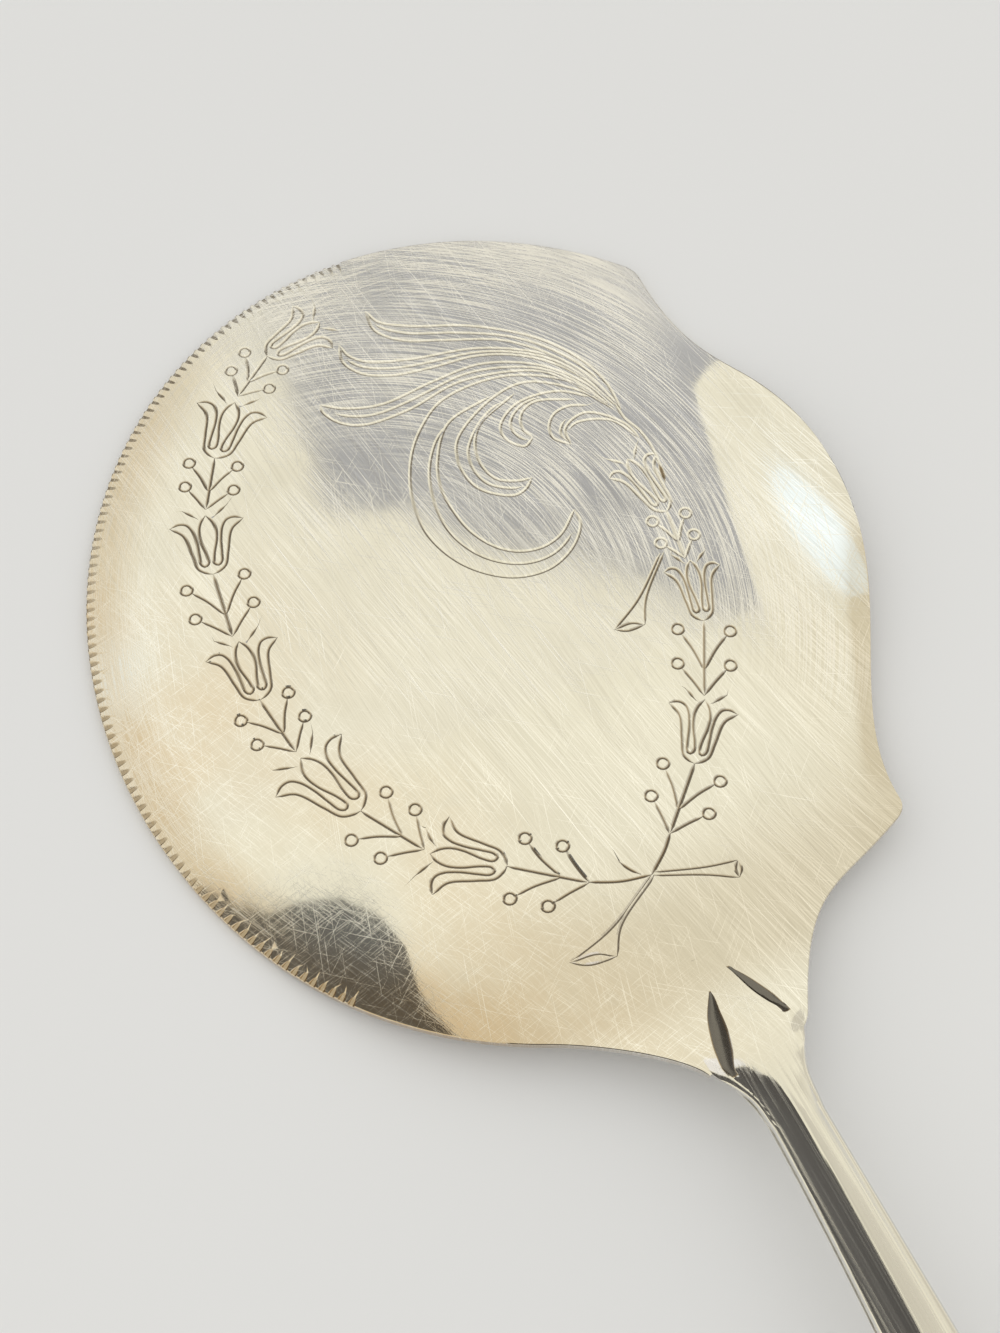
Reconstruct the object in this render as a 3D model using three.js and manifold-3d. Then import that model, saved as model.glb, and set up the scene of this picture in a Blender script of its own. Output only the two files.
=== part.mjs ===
// Cake server: an oval blade with one toothed edge, soldered between the two stamped halves of a
// hollow handle. Millimetres, +Z up. The origin lies on the table under the middle of the blade's
// oval. +X runs to the tip, the handle runs along -X, and +Y is the toothed side.
import * as THREE from "three";
import { mergeVertices } from "three/addons/utils/BufferGeometryUtils.js";
import Module from "manifold-3d";

const wasm = await Module();
wasm.setup();

// Blade sheet
const BLADE_THICKNESS = 1.2;
const OVAL_HALF_LENGTH = 56.2; // along the handle's line
const OVAL_HALF_WIDTH = 50.1;
const ROOT_SETBACK = 6; // root edge behind the oval
const ROOT_HALF_WIDTH = 5.9;
const SHOULDER_ANGLE = 157; // degrees round the oval from the tip, where the toothed side leaves it
const SHOULDER_PULL = 5.3; // how long the shoulder keeps the oval's direction
const SHOULDER_FLARE = new THREE.Vector2(3.3, 1.7); // how the shoulder leaves the root

// Shaped edge opposite the teeth: scooped root, pointed spur, round lobe, corner at the beak
const BEAK_ANGLE = -46.6; // degrees round the oval
const BEAK_DIP = new THREE.Vector2(-18.1, 0.8); // hollow between lobe and beak
const LOBE_X = 2; // widest point of the lobe
const LOBE_REACH = 43.9;
const LOBE_FRONT_PULL = 16.3;
const LOBE_REAR_PULL = 21.2;
const SPUR_LEAD = 18; // spur ahead of the root edge
const SPUR_REACH = 28.7;
const SPUR_PULL = 15.2;
const SCOOP_ROOT = new THREE.Vector2(15.6, -8.2); // how the scoop leaves the root
const SCOOP_SPUR = new THREE.Vector2(-5.4, 11.7); // how the scoop arrives at the spur

// Lift of the sheet: the curled lobe and the bent-up root
const CURL_OFFSET = 29.6; // bend line of the curl, from the middle of the oval
const CURL_TURN = 10.5; // degrees between that line and the handle's line
const CURL_RADIUS = 28;
const BEND_LEAD = 40.2; // start of the root bend ahead of the root edge
const BEND_LENGTH = 20;
const ROOT_SLOPE = 11; // degrees

// Teeth filed into the upper edge
const TOOTH_PITCH = 1.25;
const TOOTH_RADIUS = 0.42;
const TOOTH_LENGTH = 1.2; // run of one scoop in from the edge
const TOOTH_DEPTH = 0.48;
const TOOTH_FIRST_ANGLE = -1; // degrees round the oval
const TOOTH_LAST_ANGLE = 133;

// Handle
const HANDLE_LENGTH = 134; // from the root edge to the round end
const HANDLE_WIDTH = 18;
const HANDLE_HEIGHT = 8.4;
const HANDLE_WALL = 0.8;
const END_LENGTH = 14; // round end
const NECK_SETBACK = 8; // narrowest place behind the root edge
const NECK_WIDTH = 5.9;
const NECK_HEIGHT = 5.4;
const NECK_ROOT_WIDTH = 10.4;
const TAPER_POWER = 1.5; // how late the handle widens
const DROP_LENGTH = 12.5; // pointed drop over the blade
const HEEL_LENGTH = 9.5; // its shorter match under the blade
const DROP_TIP_WIDTH = 1.2;
const DROP_TIP_HEIGHT = 1.1; // above the middle of the sheet

// Joints inside the handle
const SOLDER = 0.15; // layer between blade and handle
const SEAM = 0.2; // layer between the handle halves
const SEAT_GAP = 0.3; // clearance round the tongue and the core
const TONGUE_LENGTH = 10; // blade's tongue inside the neck
const TONGUE_WIDTH = 3.2;
const CORE_LENGTH = 42; // stiffening bar in the neck

// Fineness of the round shapes
const OVAL_STEPS = 46;
const EDGE_STEPS = 8;
const LEAST_STEP = 0.8;
const SECTION_STEPS = 12;
const TAPER_STEPS = 14;
const END_ANGLES = [18, 36, 52, 66, 78]; // sections of the round end, degrees
const SECTION_SHARES = [0, 0.03, 0.06, 0.09, 0.12, 0.15, 0.2, 0.5, 0.8, 1];

const rad = THREE.MathUtils.degToRad;
const rootX = -(OVAL_HALF_LENGTH + ROOT_SETBACK);
const bendStart = rootX + BEND_LEAD;
const bendEnd = bendStart - BEND_LENGTH;

// Evenly spaced values from first to last, both included.
function steps(first, last, count) {
  return Array.from({ length: count + 1 }, (_, i) => first + ((last - first) * i) / count);
}

// Solid from closed rings of equal count. An apex closes each end.
function loft(rings, firstApex, lastApex) {
  const sides = rings[0].length;
  const points = [...rings.flat(), firstApex, lastApex];
  const first = points.length - 2;
  const last = points.length - 1;
  const top = first - sides;
  const index = [];
  for (let j = 0; j < sides; j++) {
    const k = (j + 1) % sides;
    index.push(first, k, j);
    index.push(last, top + j, top + k);
    for (let i = 0; i < rings.length - 1; i++) {
      const a = i * sides;
      const b = a + sides;
      index.push(a + j, a + k, b + k, a + j, b + k, b + j);
    }
  }
  const geometry = new THREE.BufferGeometry().setFromPoints(points);
  geometry.setIndex(index);
  return toSolid(geometry);
}

function middle(ring) {
  const sum = ring.reduce((total, point) => total.add(point), new THREE.Vector3());
  return sum.divideScalar(ring.length);
}

function closedLoft(rings) {
  return loft(rings, middle(rings[0]), middle(rings.at(-1)));
}

// Closed mesh to a solid with its faces outward.
function toSolid(geometry) {
  geometry.deleteAttribute("normal");
  geometry.deleteAttribute("uv");
  const merged = mergeVertices(geometry, 1e-5);
  const vertProperties = merged.attributes.position.array;
  const triVerts = new Uint32Array(merged.index.array);
  const corner = (i) => new THREE.Vector3().fromArray(vertProperties, 3 * triVerts[i]);
  let volume = 0;
  for (let i = 0; i < triVerts.length; i += 3) {
    volume += corner(i).dot(corner(i + 1).cross(corner(i + 2)));
  }
  if (volume < 0) triVerts.reverse();
  return new wasm.Manifold(new wasm.Mesh({ numProp: 3, vertProperties, triVerts }));
}

// Height of the bent root over the flat of the blade.
function rootRise(x) {
  const behind = Math.max(0, bendStart - x);
  const curved = Math.min(behind, BEND_LENGTH);
  const straight = behind - curved;
  return Math.tan(rad(ROOT_SLOPE)) * (curved ** 2 / (2 * BEND_LENGTH) + straight);
}

// Height of the curled lobe over the flat of the blade.
function curlRise(x, y) {
  const across = -Math.sin(rad(CURL_TURN)) * x - Math.cos(rad(CURL_TURN)) * y - CURL_OFFSET;
  return Math.max(0, across) ** 2 / (2 * CURL_RADIUS);
}

function sheetMiddle(x, y) {
  return BLADE_THICKNESS / 2 + rootRise(x) + curlRise(x, y);
}

// Section of the handle at a distance behind the root edge; the drop and heel lie at negative
// distances.
function roundEnd(s) {
  const past = Math.max(0, s - (HANDLE_LENGTH - END_LENGTH)) / END_LENGTH;
  return Math.sqrt(1 - Math.min(1, past) ** 2);
}

function taper(s) {
  const run = HANDLE_LENGTH - END_LENGTH - NECK_SETBACK;
  return Math.min(1, Math.max(0, s - NECK_SETBACK) / run) ** TAPER_POWER;
}

function halfWidth(s, dropLength) {
  if (s < 0) {
    return THREE.MathUtils.lerp(NECK_ROOT_WIDTH, DROP_TIP_WIDTH, -s / dropLength) / 2;
  }
  const flare = Math.max(0, 1 - s / NECK_SETBACK) ** 2 * (NECK_ROOT_WIDTH - NECK_WIDTH);
  const width = NECK_WIDTH + flare + taper(s) * (HANDLE_WIDTH - NECK_WIDTH);
  return (width * roundEnd(s)) / 2;
}

function halfHeight(s, dropLength) {
  if (s < 0) return THREE.MathUtils.lerp(NECK_HEIGHT / 2, DROP_TIP_HEIGHT, -s / dropLength);
  return ((NECK_HEIGHT + taper(s) * (HANDLE_HEIGHT - NECK_HEIGHT)) * roundEnd(s)) / 2;
}

const endStations = END_ANGLES.map((a) => HANDLE_LENGTH - END_LENGTH * (1 - Math.sin(rad(a))));
const handleStations = [
  0,
  SEAT_GAP,
  ...steps(NECK_SETBACK / 4, NECK_SETBACK, 3),
  ...steps(NECK_SETBACK, HANDLE_LENGTH - END_LENGTH, TAPER_STEPS).slice(1),
  ...endStations,
];

// Middle line of the handle: it leaves the root with the blade's slope, arches over and comes down
// level, just low enough for the handle's underside to touch the table.
function archShares(s) {
  const t = s / HANDLE_LENGTH;
  const fall = t * t * (3 - 2 * t);
  const rise = t * (1 - t) ** 2 * HANDLE_LENGTH * Math.tan(rad(ROOT_SLOPE));
  return { start: (1 - fall) * sheetMiddle(rootX, 0) + rise, fall };
}

function endHeightFor(s) {
  const { start, fall } = archShares(s);
  return (halfHeight(s) - start) / fall;
}

const rearStations = handleStations.filter((s) => s > HANDLE_LENGTH / 2);
const endHeight = Math.max(...rearStations.map(endHeightFor));

function spine(s) {
  if (s <= 0) return sheetMiddle(rootX - s, 0);
  const { start, fall } = archShares(s);
  return start + fall * endHeight;
}

const at = (s, y, z) => new THREE.Vector3(rootX - s, y, spine(s) + z);

// Rings of a flat layer along the spine, between two heights over it.
function layer(stations, half, low, high) {
  return stations.map((s) => {
    const y = half(s);
    return [at(s, -y, low), at(s, y, low), at(s, y, high), at(s, -y, high)];
  });
}

// Outer form of one handle half, from the tip of its drop or heel to the round end.
function halfForm(side, dropLength) {
  const stations = [...steps(-dropLength, 0, 4).slice(0, -1), ...handleStations];
  const rim = (side * SEAM) / 2;
  const rings = stations.map((s) =>
    steps(0, Math.PI, SECTION_STEPS).map((angle) => {
      const y = halfWidth(s, dropLength) * Math.cos(angle);
      return at(s, y, rim + side * (halfHeight(s, dropLength) - SEAM / 2) * Math.sin(angle));
    }),
  );
  return loft(rings, middle(rings[0]), at(HANDLE_LENGTH, 0, rim));
}

function ovalRing(s, half, rise) {
  return steps(0, 2 * Math.PI, 2 * SECTION_STEPS)
    .slice(0, -1)
    .map((angle) => at(s, half * Math.cos(angle), rise * Math.sin(angle)));
}

function handleHollow() {
  const hollow = handleStations.filter((s) => halfHeight(s) > 2 * HANDLE_WALL);
  const inside = (s) => ovalRing(s, halfWidth(s) - HANDLE_WALL, halfHeight(s) - HANDLE_WALL);
  return closedLoft(hollow.map(inside));
}

// Room for the blade and its solder between drop and heel.
function bladeSlot(dropLength) {
  const stations = [SEAT_GAP, 0, -dropLength - SEAT_GAP];
  const depth = BLADE_THICKNESS / 2 + SOLDER;
  return closedLoft(layer(stations, () => NECK_ROOT_WIDTH, -depth, depth));
}

function handleHalf(side, dropLength) {
  return halfForm(side, dropLength).subtract(handleHollow()).subtract(bladeSlot(dropLength));
}

// Solder under the drop or over the heel: the drop's own outline, between it and the sheet.
function sheetSolder(side, dropLength) {
  const inner = (side * BLADE_THICKNESS) / 2;
  const outer = inner + side * SOLDER;
  const film = layer([0, -dropLength - SEAT_GAP], () => NECK_ROOT_WIDTH, inner, outer);
  return halfForm(side, dropLength).intersect(closedLoft(film));
}

function seamSolder() {
  const stations = handleStations.filter((s) => s >= SEAT_GAP);
  const rings = layer(stations, (s) => halfWidth(s), -SEAM / 2, SEAM / 2);
  const plate = loft(rings, middle(rings[0]), at(HANDLE_LENGTH, 0, 0));
  return plate.subtract(handleHollow());
}

const tongueStations = steps(0, TONGUE_LENGTH, 4);

function neckCore() {
  const stations = handleStations.filter((s) => s > SEAT_GAP && s < CORE_LENGTH);
  const half = NECK_WIDTH / 2 - HANDLE_WALL - SEAT_GAP;
  const rise = NECK_HEIGHT / 2 - HANDLE_WALL - SEAT_GAP;
  const bar = closedLoft([...stations, CORE_LENGTH].map((s) => ovalRing(s, half, rise)));
  const slotStations = [-SEAT_GAP, ...tongueStations, TONGUE_LENGTH + SEAT_GAP];
  const depth = BLADE_THICKNESS / 2 + SEAT_GAP;
  return bar.subtract(closedLoft(layer(slotStations, () => NECK_WIDTH, -depth, depth)));
}

// Blade outline as two edges that both run from the root to the tip.
const ovalArc = (from, to) =>
  new THREE.EllipseCurve(0, 0, OVAL_HALF_LENGTH, OVAL_HALF_WIDTH, rad(from), rad(to), to < from);

// Curve between two points, which leaves the first and arrives at the last as the shifts say.
function bend(from, leaving, arriving, to) {
  return new THREE.CubicBezierCurve(from, from.clone().add(leaving), to.clone().add(arriving), to);
}

function toothedEdge() {
  const root = new THREE.Vector2(rootX, ROOT_HALF_WIDTH);
  const oval = ovalArc(SHOULDER_ANGLE, 0);
  const join = oval.getPoint(0);
  const along = oval.getTangent(0).multiplyScalar(-SHOULDER_PULL);
  const shoulder = bend(root, SHOULDER_FLARE, along, join);
  return [...shoulder.getPoints(EDGE_STEPS).slice(0, -1), ...oval.getPoints(OVAL_STEPS)];
}

function shapedEdge() {
  const root = new THREE.Vector2(rootX, -ROOT_HALF_WIDTH);
  const spur = new THREE.Vector2(rootX + SPUR_LEAD, -SPUR_REACH);
  const lobe = new THREE.Vector2(LOBE_X, -LOBE_REACH);
  const oval = ovalArc(BEAK_ANGLE, 0);
  const beak = oval.getPoint(0);
  const along = (pull) => new THREE.Vector2(pull, 0);
  const stretches = [
    bend(root, SCOOP_ROOT, SCOOP_SPUR, spur),
    bend(spur, along(SPUR_PULL), along(-LOBE_REAR_PULL), lobe),
    bend(lobe, along(LOBE_FRONT_PULL), BEAK_DIP, beak),
  ];
  const points = stretches.flatMap((curve) => curve.getPoints(EDGE_STEPS).slice(0, -1));
  return [...points, ...oval.getPoints(EDGE_STEPS)];
}

function edgeAt(edge, x) {
  const next = Math.max(1, edge.findIndex((point) => point.x >= x));
  const from = edge[next - 1];
  const to = edge[next];
  return THREE.MathUtils.mapLinear(x, from.x, to.x, from.y, to.y);
}

// Sections across the blade stand at the bends, the corners and as many points of both edges as
// lie far enough apart.
function bladeStations(left, right) {
  const tip = left.at(-2).x;
  const beak = ovalArc(BEAK_ANGLE, 0).getPoint(0).x;
  const kept = [rootX, bendEnd, bendStart, rootX + SPUR_LEAD, LOBE_X, beak, tip];
  for (const { x } of [...left, ...right]) {
    if (x < tip && kept.every((other) => Math.abs(other - x) > LEAST_STEP)) kept.push(x);
  }
  return kept.sort((a, b) => a - b);
}

function bladeSheet() {
  const left = toothedEdge();
  const right = shapedEdge();
  const section = (x) => {
    const from = edgeAt(right, x);
    const to = edgeAt(left, x);
    const across = SECTION_SHARES.map((share) => THREE.MathUtils.lerp(from, to, share));
    const face = (lift) => across.map((y) => new THREE.Vector3(x, y, sheetMiddle(x, y) + lift));
    return [...face(BLADE_THICKNESS / 2), ...face(-BLADE_THICKNESS / 2).reverse()];
  };
  return closedLoft(bladeStations(left, right).map(section));
}

// One scoop: a round file laid across the upper edge, sloping down and outward.
function toothCutter({ x, y }) {
  const slope = Math.atan2(TOOTH_DEPTH, TOOTH_LENGTH);
  const outward = new THREE.Vector3(x / OVAL_HALF_LENGTH ** 2, y / OVAL_HALF_WIDTH ** 2, 0).normalize();
  const along = outward.multiplyScalar(Math.cos(slope)).setZ(-Math.sin(slope));
  const cutter = new THREE.CylinderGeometry(TOOTH_RADIUS, TOOTH_RADIUS, 4 * TOOTH_LENGTH, 8);
  cutter.applyQuaternion(new THREE.Quaternion().setFromUnitVectors(new THREE.Vector3(0, 1, 0), along));
  const edge = sheetMiddle(x, y) + BLADE_THICKNESS / 2;
  cutter.translate(x, y, edge - TOOTH_DEPTH + TOOTH_RADIUS / Math.cos(slope));
  return toSolid(cutter);
}

function blade() {
  const half = BLADE_THICKNESS / 2;
  const tongue = layer([-SEAT_GAP, ...tongueStations], () => TONGUE_WIDTH / 2, -half, half);
  const toothed = ovalArc(TOOTH_FIRST_ANGLE, TOOTH_LAST_ANGLE);
  const count = Math.round(toothed.getLength() / TOOTH_PITCH);
  const cutters = toothed.getSpacedPoints(count).map(toothCutter);
  return bladeSheet().add(closedLoft(tongue)).subtract(wasm.Manifold.union(cutters));
}

function piece(name, solid, color, roughness) {
  const { vertProperties, triVerts } = solid.getMesh();
  const geometry = new THREE.BufferGeometry();
  geometry.setAttribute("position", new THREE.BufferAttribute(vertProperties, 3));
  geometry.setIndex(new THREE.BufferAttribute(triVerts, 1));
  geometry.computeVertexNormals();
  const material = new THREE.MeshStandardMaterial({ color, roughness, metalness: 1 });
  const mesh = new THREE.Mesh(geometry, material);
  mesh.name = name;
  return mesh;
}

const server = new THREE.Group();
server.add(
  piece("blade", blade(), 0xd8d2c4, 0.32),
  piece("upper_shell", handleHalf(1, DROP_LENGTH), 0xdcd8ce, 0.2),
  piece("lower_shell", handleHalf(-1, HEEL_LENGTH), 0xd6d2c8, 0.24),
  piece("neck_core", neckCore(), 0x9a958c, 0.5),
  piece("drop_solder", sheetSolder(1, DROP_LENGTH), 0xb5b0a6, 0.4),
  piece("heel_solder", sheetSolder(-1, HEEL_LENGTH), 0xb5b0a6, 0.4),
  piece("seam_solder", seamSolder(), 0xc2bdb2, 0.35),
);

export default server;
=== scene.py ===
"""Cake server: an engraved oval blade with one toothed edge, on a hollow silver handle.

Sizes are millimetres and degrees. The origin lies on the table under the middle of the blade's oval,
+X runs to the tip, the handle runs along -X and +Y is the toothed side.
"""

import logging
import math
from dataclasses import dataclass, field
from enum import Enum
from typing import Any, Sequence

import bpy
import numpy as np
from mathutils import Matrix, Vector
from mathutils.geometry import delaunay_2d_cdt


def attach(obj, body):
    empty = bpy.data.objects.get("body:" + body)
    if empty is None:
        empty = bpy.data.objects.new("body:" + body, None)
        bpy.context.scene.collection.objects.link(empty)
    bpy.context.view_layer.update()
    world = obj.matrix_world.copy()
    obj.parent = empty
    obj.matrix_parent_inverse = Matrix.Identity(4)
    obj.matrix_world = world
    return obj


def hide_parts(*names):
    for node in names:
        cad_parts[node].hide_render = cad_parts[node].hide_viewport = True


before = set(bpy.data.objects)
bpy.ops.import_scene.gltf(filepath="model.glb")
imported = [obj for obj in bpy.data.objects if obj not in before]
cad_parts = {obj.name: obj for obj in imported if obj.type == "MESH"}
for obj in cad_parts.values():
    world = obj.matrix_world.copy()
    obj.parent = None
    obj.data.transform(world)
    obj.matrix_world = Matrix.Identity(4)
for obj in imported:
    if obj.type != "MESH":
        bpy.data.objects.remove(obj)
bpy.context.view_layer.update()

MM = 0.001
LOG = logging.getLogger("cake_server")
Points = np.ndarray
Colour = tuple[float, float, float]
Pair = tuple[float, float]


class Slot(Enum):
    """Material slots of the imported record."""

    BLADE = "engraved_silver"
    HANDLE = "polished_silver"
    CORE = "core_metal"
    SOLDER = "solder"


class Side(Enum):
    """The two faces of the sheet, and the handle half on each."""

    UPPER = 1
    LOWER = -1


# Shader graphs


class Value:
    """A number, vector or colour on a node's output, with arithmetic for numbers."""

    def __init__(self, graph: "Graph", socket: bpy.types.NodeSocket) -> None:
        """Keep the output socket and the graph that new nodes go to."""
        self.graph = graph
        self.socket = socket

    def _math(self, operation: str, first: Any, second: Any = 0.0) -> "Value":
        """Add one Math node.

        Args:
            operation: The Math node's operation.
            first: Left value or number.
            second: Right value or number.

        Returns:
            The node's result.
        """
        return self.graph.out("ShaderNodeMath", {"operation": operation}, {0: first, 1: second})

    def __add__(self, other: Any) -> "Value":
        """Sum."""
        return self._math("ADD", self, other)

    def __radd__(self, other: Any) -> "Value":
        """Sum with a number on the left."""
        return self._math("ADD", other, self)

    def __sub__(self, other: Any) -> "Value":
        """Difference."""
        return self._math("SUBTRACT", self, other)

    def __rsub__(self, other: Any) -> "Value":
        """Difference from a number on the left."""
        return self._math("SUBTRACT", other, self)

    def __mul__(self, other: Any) -> "Value":
        """Product."""
        return self._math("MULTIPLY", self, other)

    def __rmul__(self, other: Any) -> "Value":
        """Product with a number on the left."""
        return self._math("MULTIPLY", other, self)

    def __truediv__(self, other: Any) -> "Value":
        """Quotient."""
        return self._math("DIVIDE", self, other)

    def __pow__(self, other: Any) -> "Value":
        """Power."""
        return self._math("POWER", self, other)

    def least(self, other: Any) -> "Value":
        """Smaller of two values."""
        return self._math("MINIMUM", self, other)

    def between(self, low: float, high: float) -> "Value":
        """Smooth step from 0 at low to 1 at high, where low may be the larger one.

        Args:
            low: Value that gives 0.
            high: Value that gives 1.

        Returns:
            The share from 0 to 1.
        """
        rising = low < high
        ends = {"From Min": min(low, high), "From Max": max(low, high)}
        span = {"To Min": 0.0 if rising else 1.0, "To Max": 1.0 if rising else 0.0}
        settings = {"interpolation_type": "SMOOTHSTEP"}
        return self.graph.out("ShaderNodeMapRange", settings, {"Value": self, **ends, **span})


class Graph:
    """The node tree of one material or world."""

    def __init__(self, tree: bpy.types.NodeTree) -> None:
        """Start with an empty tree."""
        self.tree = tree
        tree.nodes.clear()

    def node(self, kind: str, settings: dict[str, Any], sockets: dict[Any, Any]) -> bpy.types.Node:
        """Add one node.

        Args:
            kind: Node type.
            settings: Properties of the node, set first.
            sockets: Values or links of its inputs, by name or number.

        Returns:
            The new node.
        """
        made = self.tree.nodes.new(kind)
        for name, value in settings.items():
            setattr(made, name, value)
        for key, value in sockets.items():
            if isinstance(value, Value):
                self.tree.links.new(value.socket, made.inputs[key])
            else:
                made.inputs[key].default_value = value
        return made

    def out(self, kind: str, settings: dict[str, Any], sockets: dict[Any, Any], output: Any = 0) -> Value:
        """Add one node and take one of its outputs.

        Args:
            kind: Node type.
            settings: Properties of the node, set first.
            sockets: Values or links of its inputs.
            output: Name or number of the output.

        Returns:
            The output as a value.
        """
        return Value(self, self.node(kind, settings, sockets).outputs[output])

    def place(self) -> Value:
        """Position on the object, in its own metres."""
        return self.out("ShaderNodeTexCoord", {}, {}, "Object")

    def parts(self, vector: Value) -> tuple[Value, Value, Value]:
        """Split a vector into its three numbers.

        Args:
            vector: The vector.

        Returns:
            Its x, y and z.
        """
        made = self.node("ShaderNodeSeparateXYZ", {}, {0: vector})
        return tuple(Value(self, made.outputs[i]) for i in range(3))

    def joined(self, x: Any, y: Any) -> Value:
        """Vector of two numbers."""
        return self.out("ShaderNodeCombineXYZ", {}, {0: x, 1: y})

    def angle(self, x: Value, y: Value) -> Value:
        """Angle of a place round the middle."""
        return self.out("ShaderNodeMath", {"operation": "ARCTAN2"}, {0: y, 1: x})

    def noise(self, vector: Value, scale: float, detail: float = 2.0, roughness: float = 0.5) -> Value:
        """Cloudy pattern from 0 to 1.

        Args:
            vector: Where to read it.
            scale: Repeats per unit of the vector.
            detail: Finer layers.
            roughness: Weight of the finer layers.

        Returns:
            The pattern.
        """
        sockets = {"Vector": vector, "Scale": scale, "Detail": detail, "Roughness": roughness}
        return self.out("ShaderNodeTexNoise", {"noise_dimensions": "3D"}, sockets, "Fac")

    def stretched(self, turn: float, length: float, width: float, shift: float) -> Value:
        """Position turned about Z and measured in long narrow units.

        Args:
            turn: Degrees between the units and the X axis.
            length: Length of a unit, in millimetres.
            width: Width of a unit, in millimetres.
            shift: Moves the pattern, so that layers differ.

        Returns:
            The new position.
        """
        sockets = {
            "Vector": self.place(),
            "Location": (shift * MM, 2 * shift * MM, 0),
            "Rotation": (0, 0, math.radians(turn)),
            "Scale": (length * MM, width * MM, length * MM),
        }
        return self.out("ShaderNodeMapping", {"vector_type": "TEXTURE"}, sockets)

    def mixed(self, share: Any, first: Any, second: Any, how: str = "MIX") -> Value:
        """Blend two colours.

        Args:
            share: How much of the second.
            first: Colour or value.
            second: Colour or value.
            how: Blend type.

        Returns:
            The blended colour.
        """
        wide = [c if isinstance(c, Value) else (*c, 1.0) for c in (first, second)]
        settings = {"data_type": "RGBA", "blend_type": how}
        return self.out("ShaderNodeMix", settings, {0: share, 6: wide[0], 7: wide[1]}, 2)

    def bump(self, height: Value, depth: float, normal: Value | None = None) -> Value:
        """Normal of a surface that stands out by a height.

        Args:
            height: Height from 0 to 1.
            depth: What 1 means, in millimetres.
            normal: Normal that it is added to.

        Returns:
            The new normal.
        """
        under = {} if normal is None else {"Normal": normal}
        sockets = {"Height": height, "Distance": depth * MM, "Strength": 1.0, **under}
        return self.out("ShaderNodeBump", {}, sockets)

    def surface(self, sockets: dict[str, Any]) -> None:
        """Close the graph with a Principled shader.

        Args:
            sockets: Its inputs.
        """
        shader = self.out("ShaderNodeBsdfPrincipled", {}, sockets)
        self.node("ShaderNodeOutputMaterial", {}, {"Surface": shader})


class Finish:
    """A material with its node graph."""

    name: str

    def material(self) -> bpy.types.Material:
        """Make the material, once for each finish.

        Returns:
            The material.
        """
        made = bpy.data.materials.get(self.name)
        if made is None:
            made = bpy.data.materials.new(self.name)
            made.use_nodes = True
            self.paint(Graph(made.node_tree))
        return made

    def paint(self, graph: Graph) -> None:
        """Fill the graph."""
        raise NotImplementedError


def recess(graph: Graph) -> Value:
    """How dark the mesh marks a point's cut: tarnish in the engraving, painted shade in the tooth scoops,
    painted shade with tarnish in the flutes.
    """
    return graph.out("ShaderNodeAttribute", {"attribute_name": "recess"}, {}, "Fac")


@dataclass(frozen=True)
class Ramp:
    """Slanted lines over the part at which a zone begins and at which it is full, in millimetres."""

    x: float
    y: float
    low: float
    high: float

    def over(self, x: Value, y: Value) -> Value:
        """Share of the zone at a place."""
        return (x * self.x + y * self.y).between(self.low * MM, self.high * MM)


Zone = Sequence[Ramp]


@dataclass(frozen=True)
class Hair:
    """Straight scratches: degrees from the X axis, usual length and width, and levels of their noise."""

    turn: float
    length: float
    width: float
    level: Pair
    shift: float = 31.0

    def over(self, graph: Graph) -> Value:
        """1 in a scratch, 0 beside it."""
        where = graph.stretched(self.turn, self.length, self.width, self.shift + self.turn)
        return graph.noise(where, 1.0, 2.0).between(*self.level)


@dataclass(frozen=True)
class Wear:
    """How far one kind of mark brightens, greys and roughens the silver, and how deep it goes."""

    bright: float = 0.0
    grey: float = 0.0
    rough: float = 0.0
    deep: float = 0.0


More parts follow.
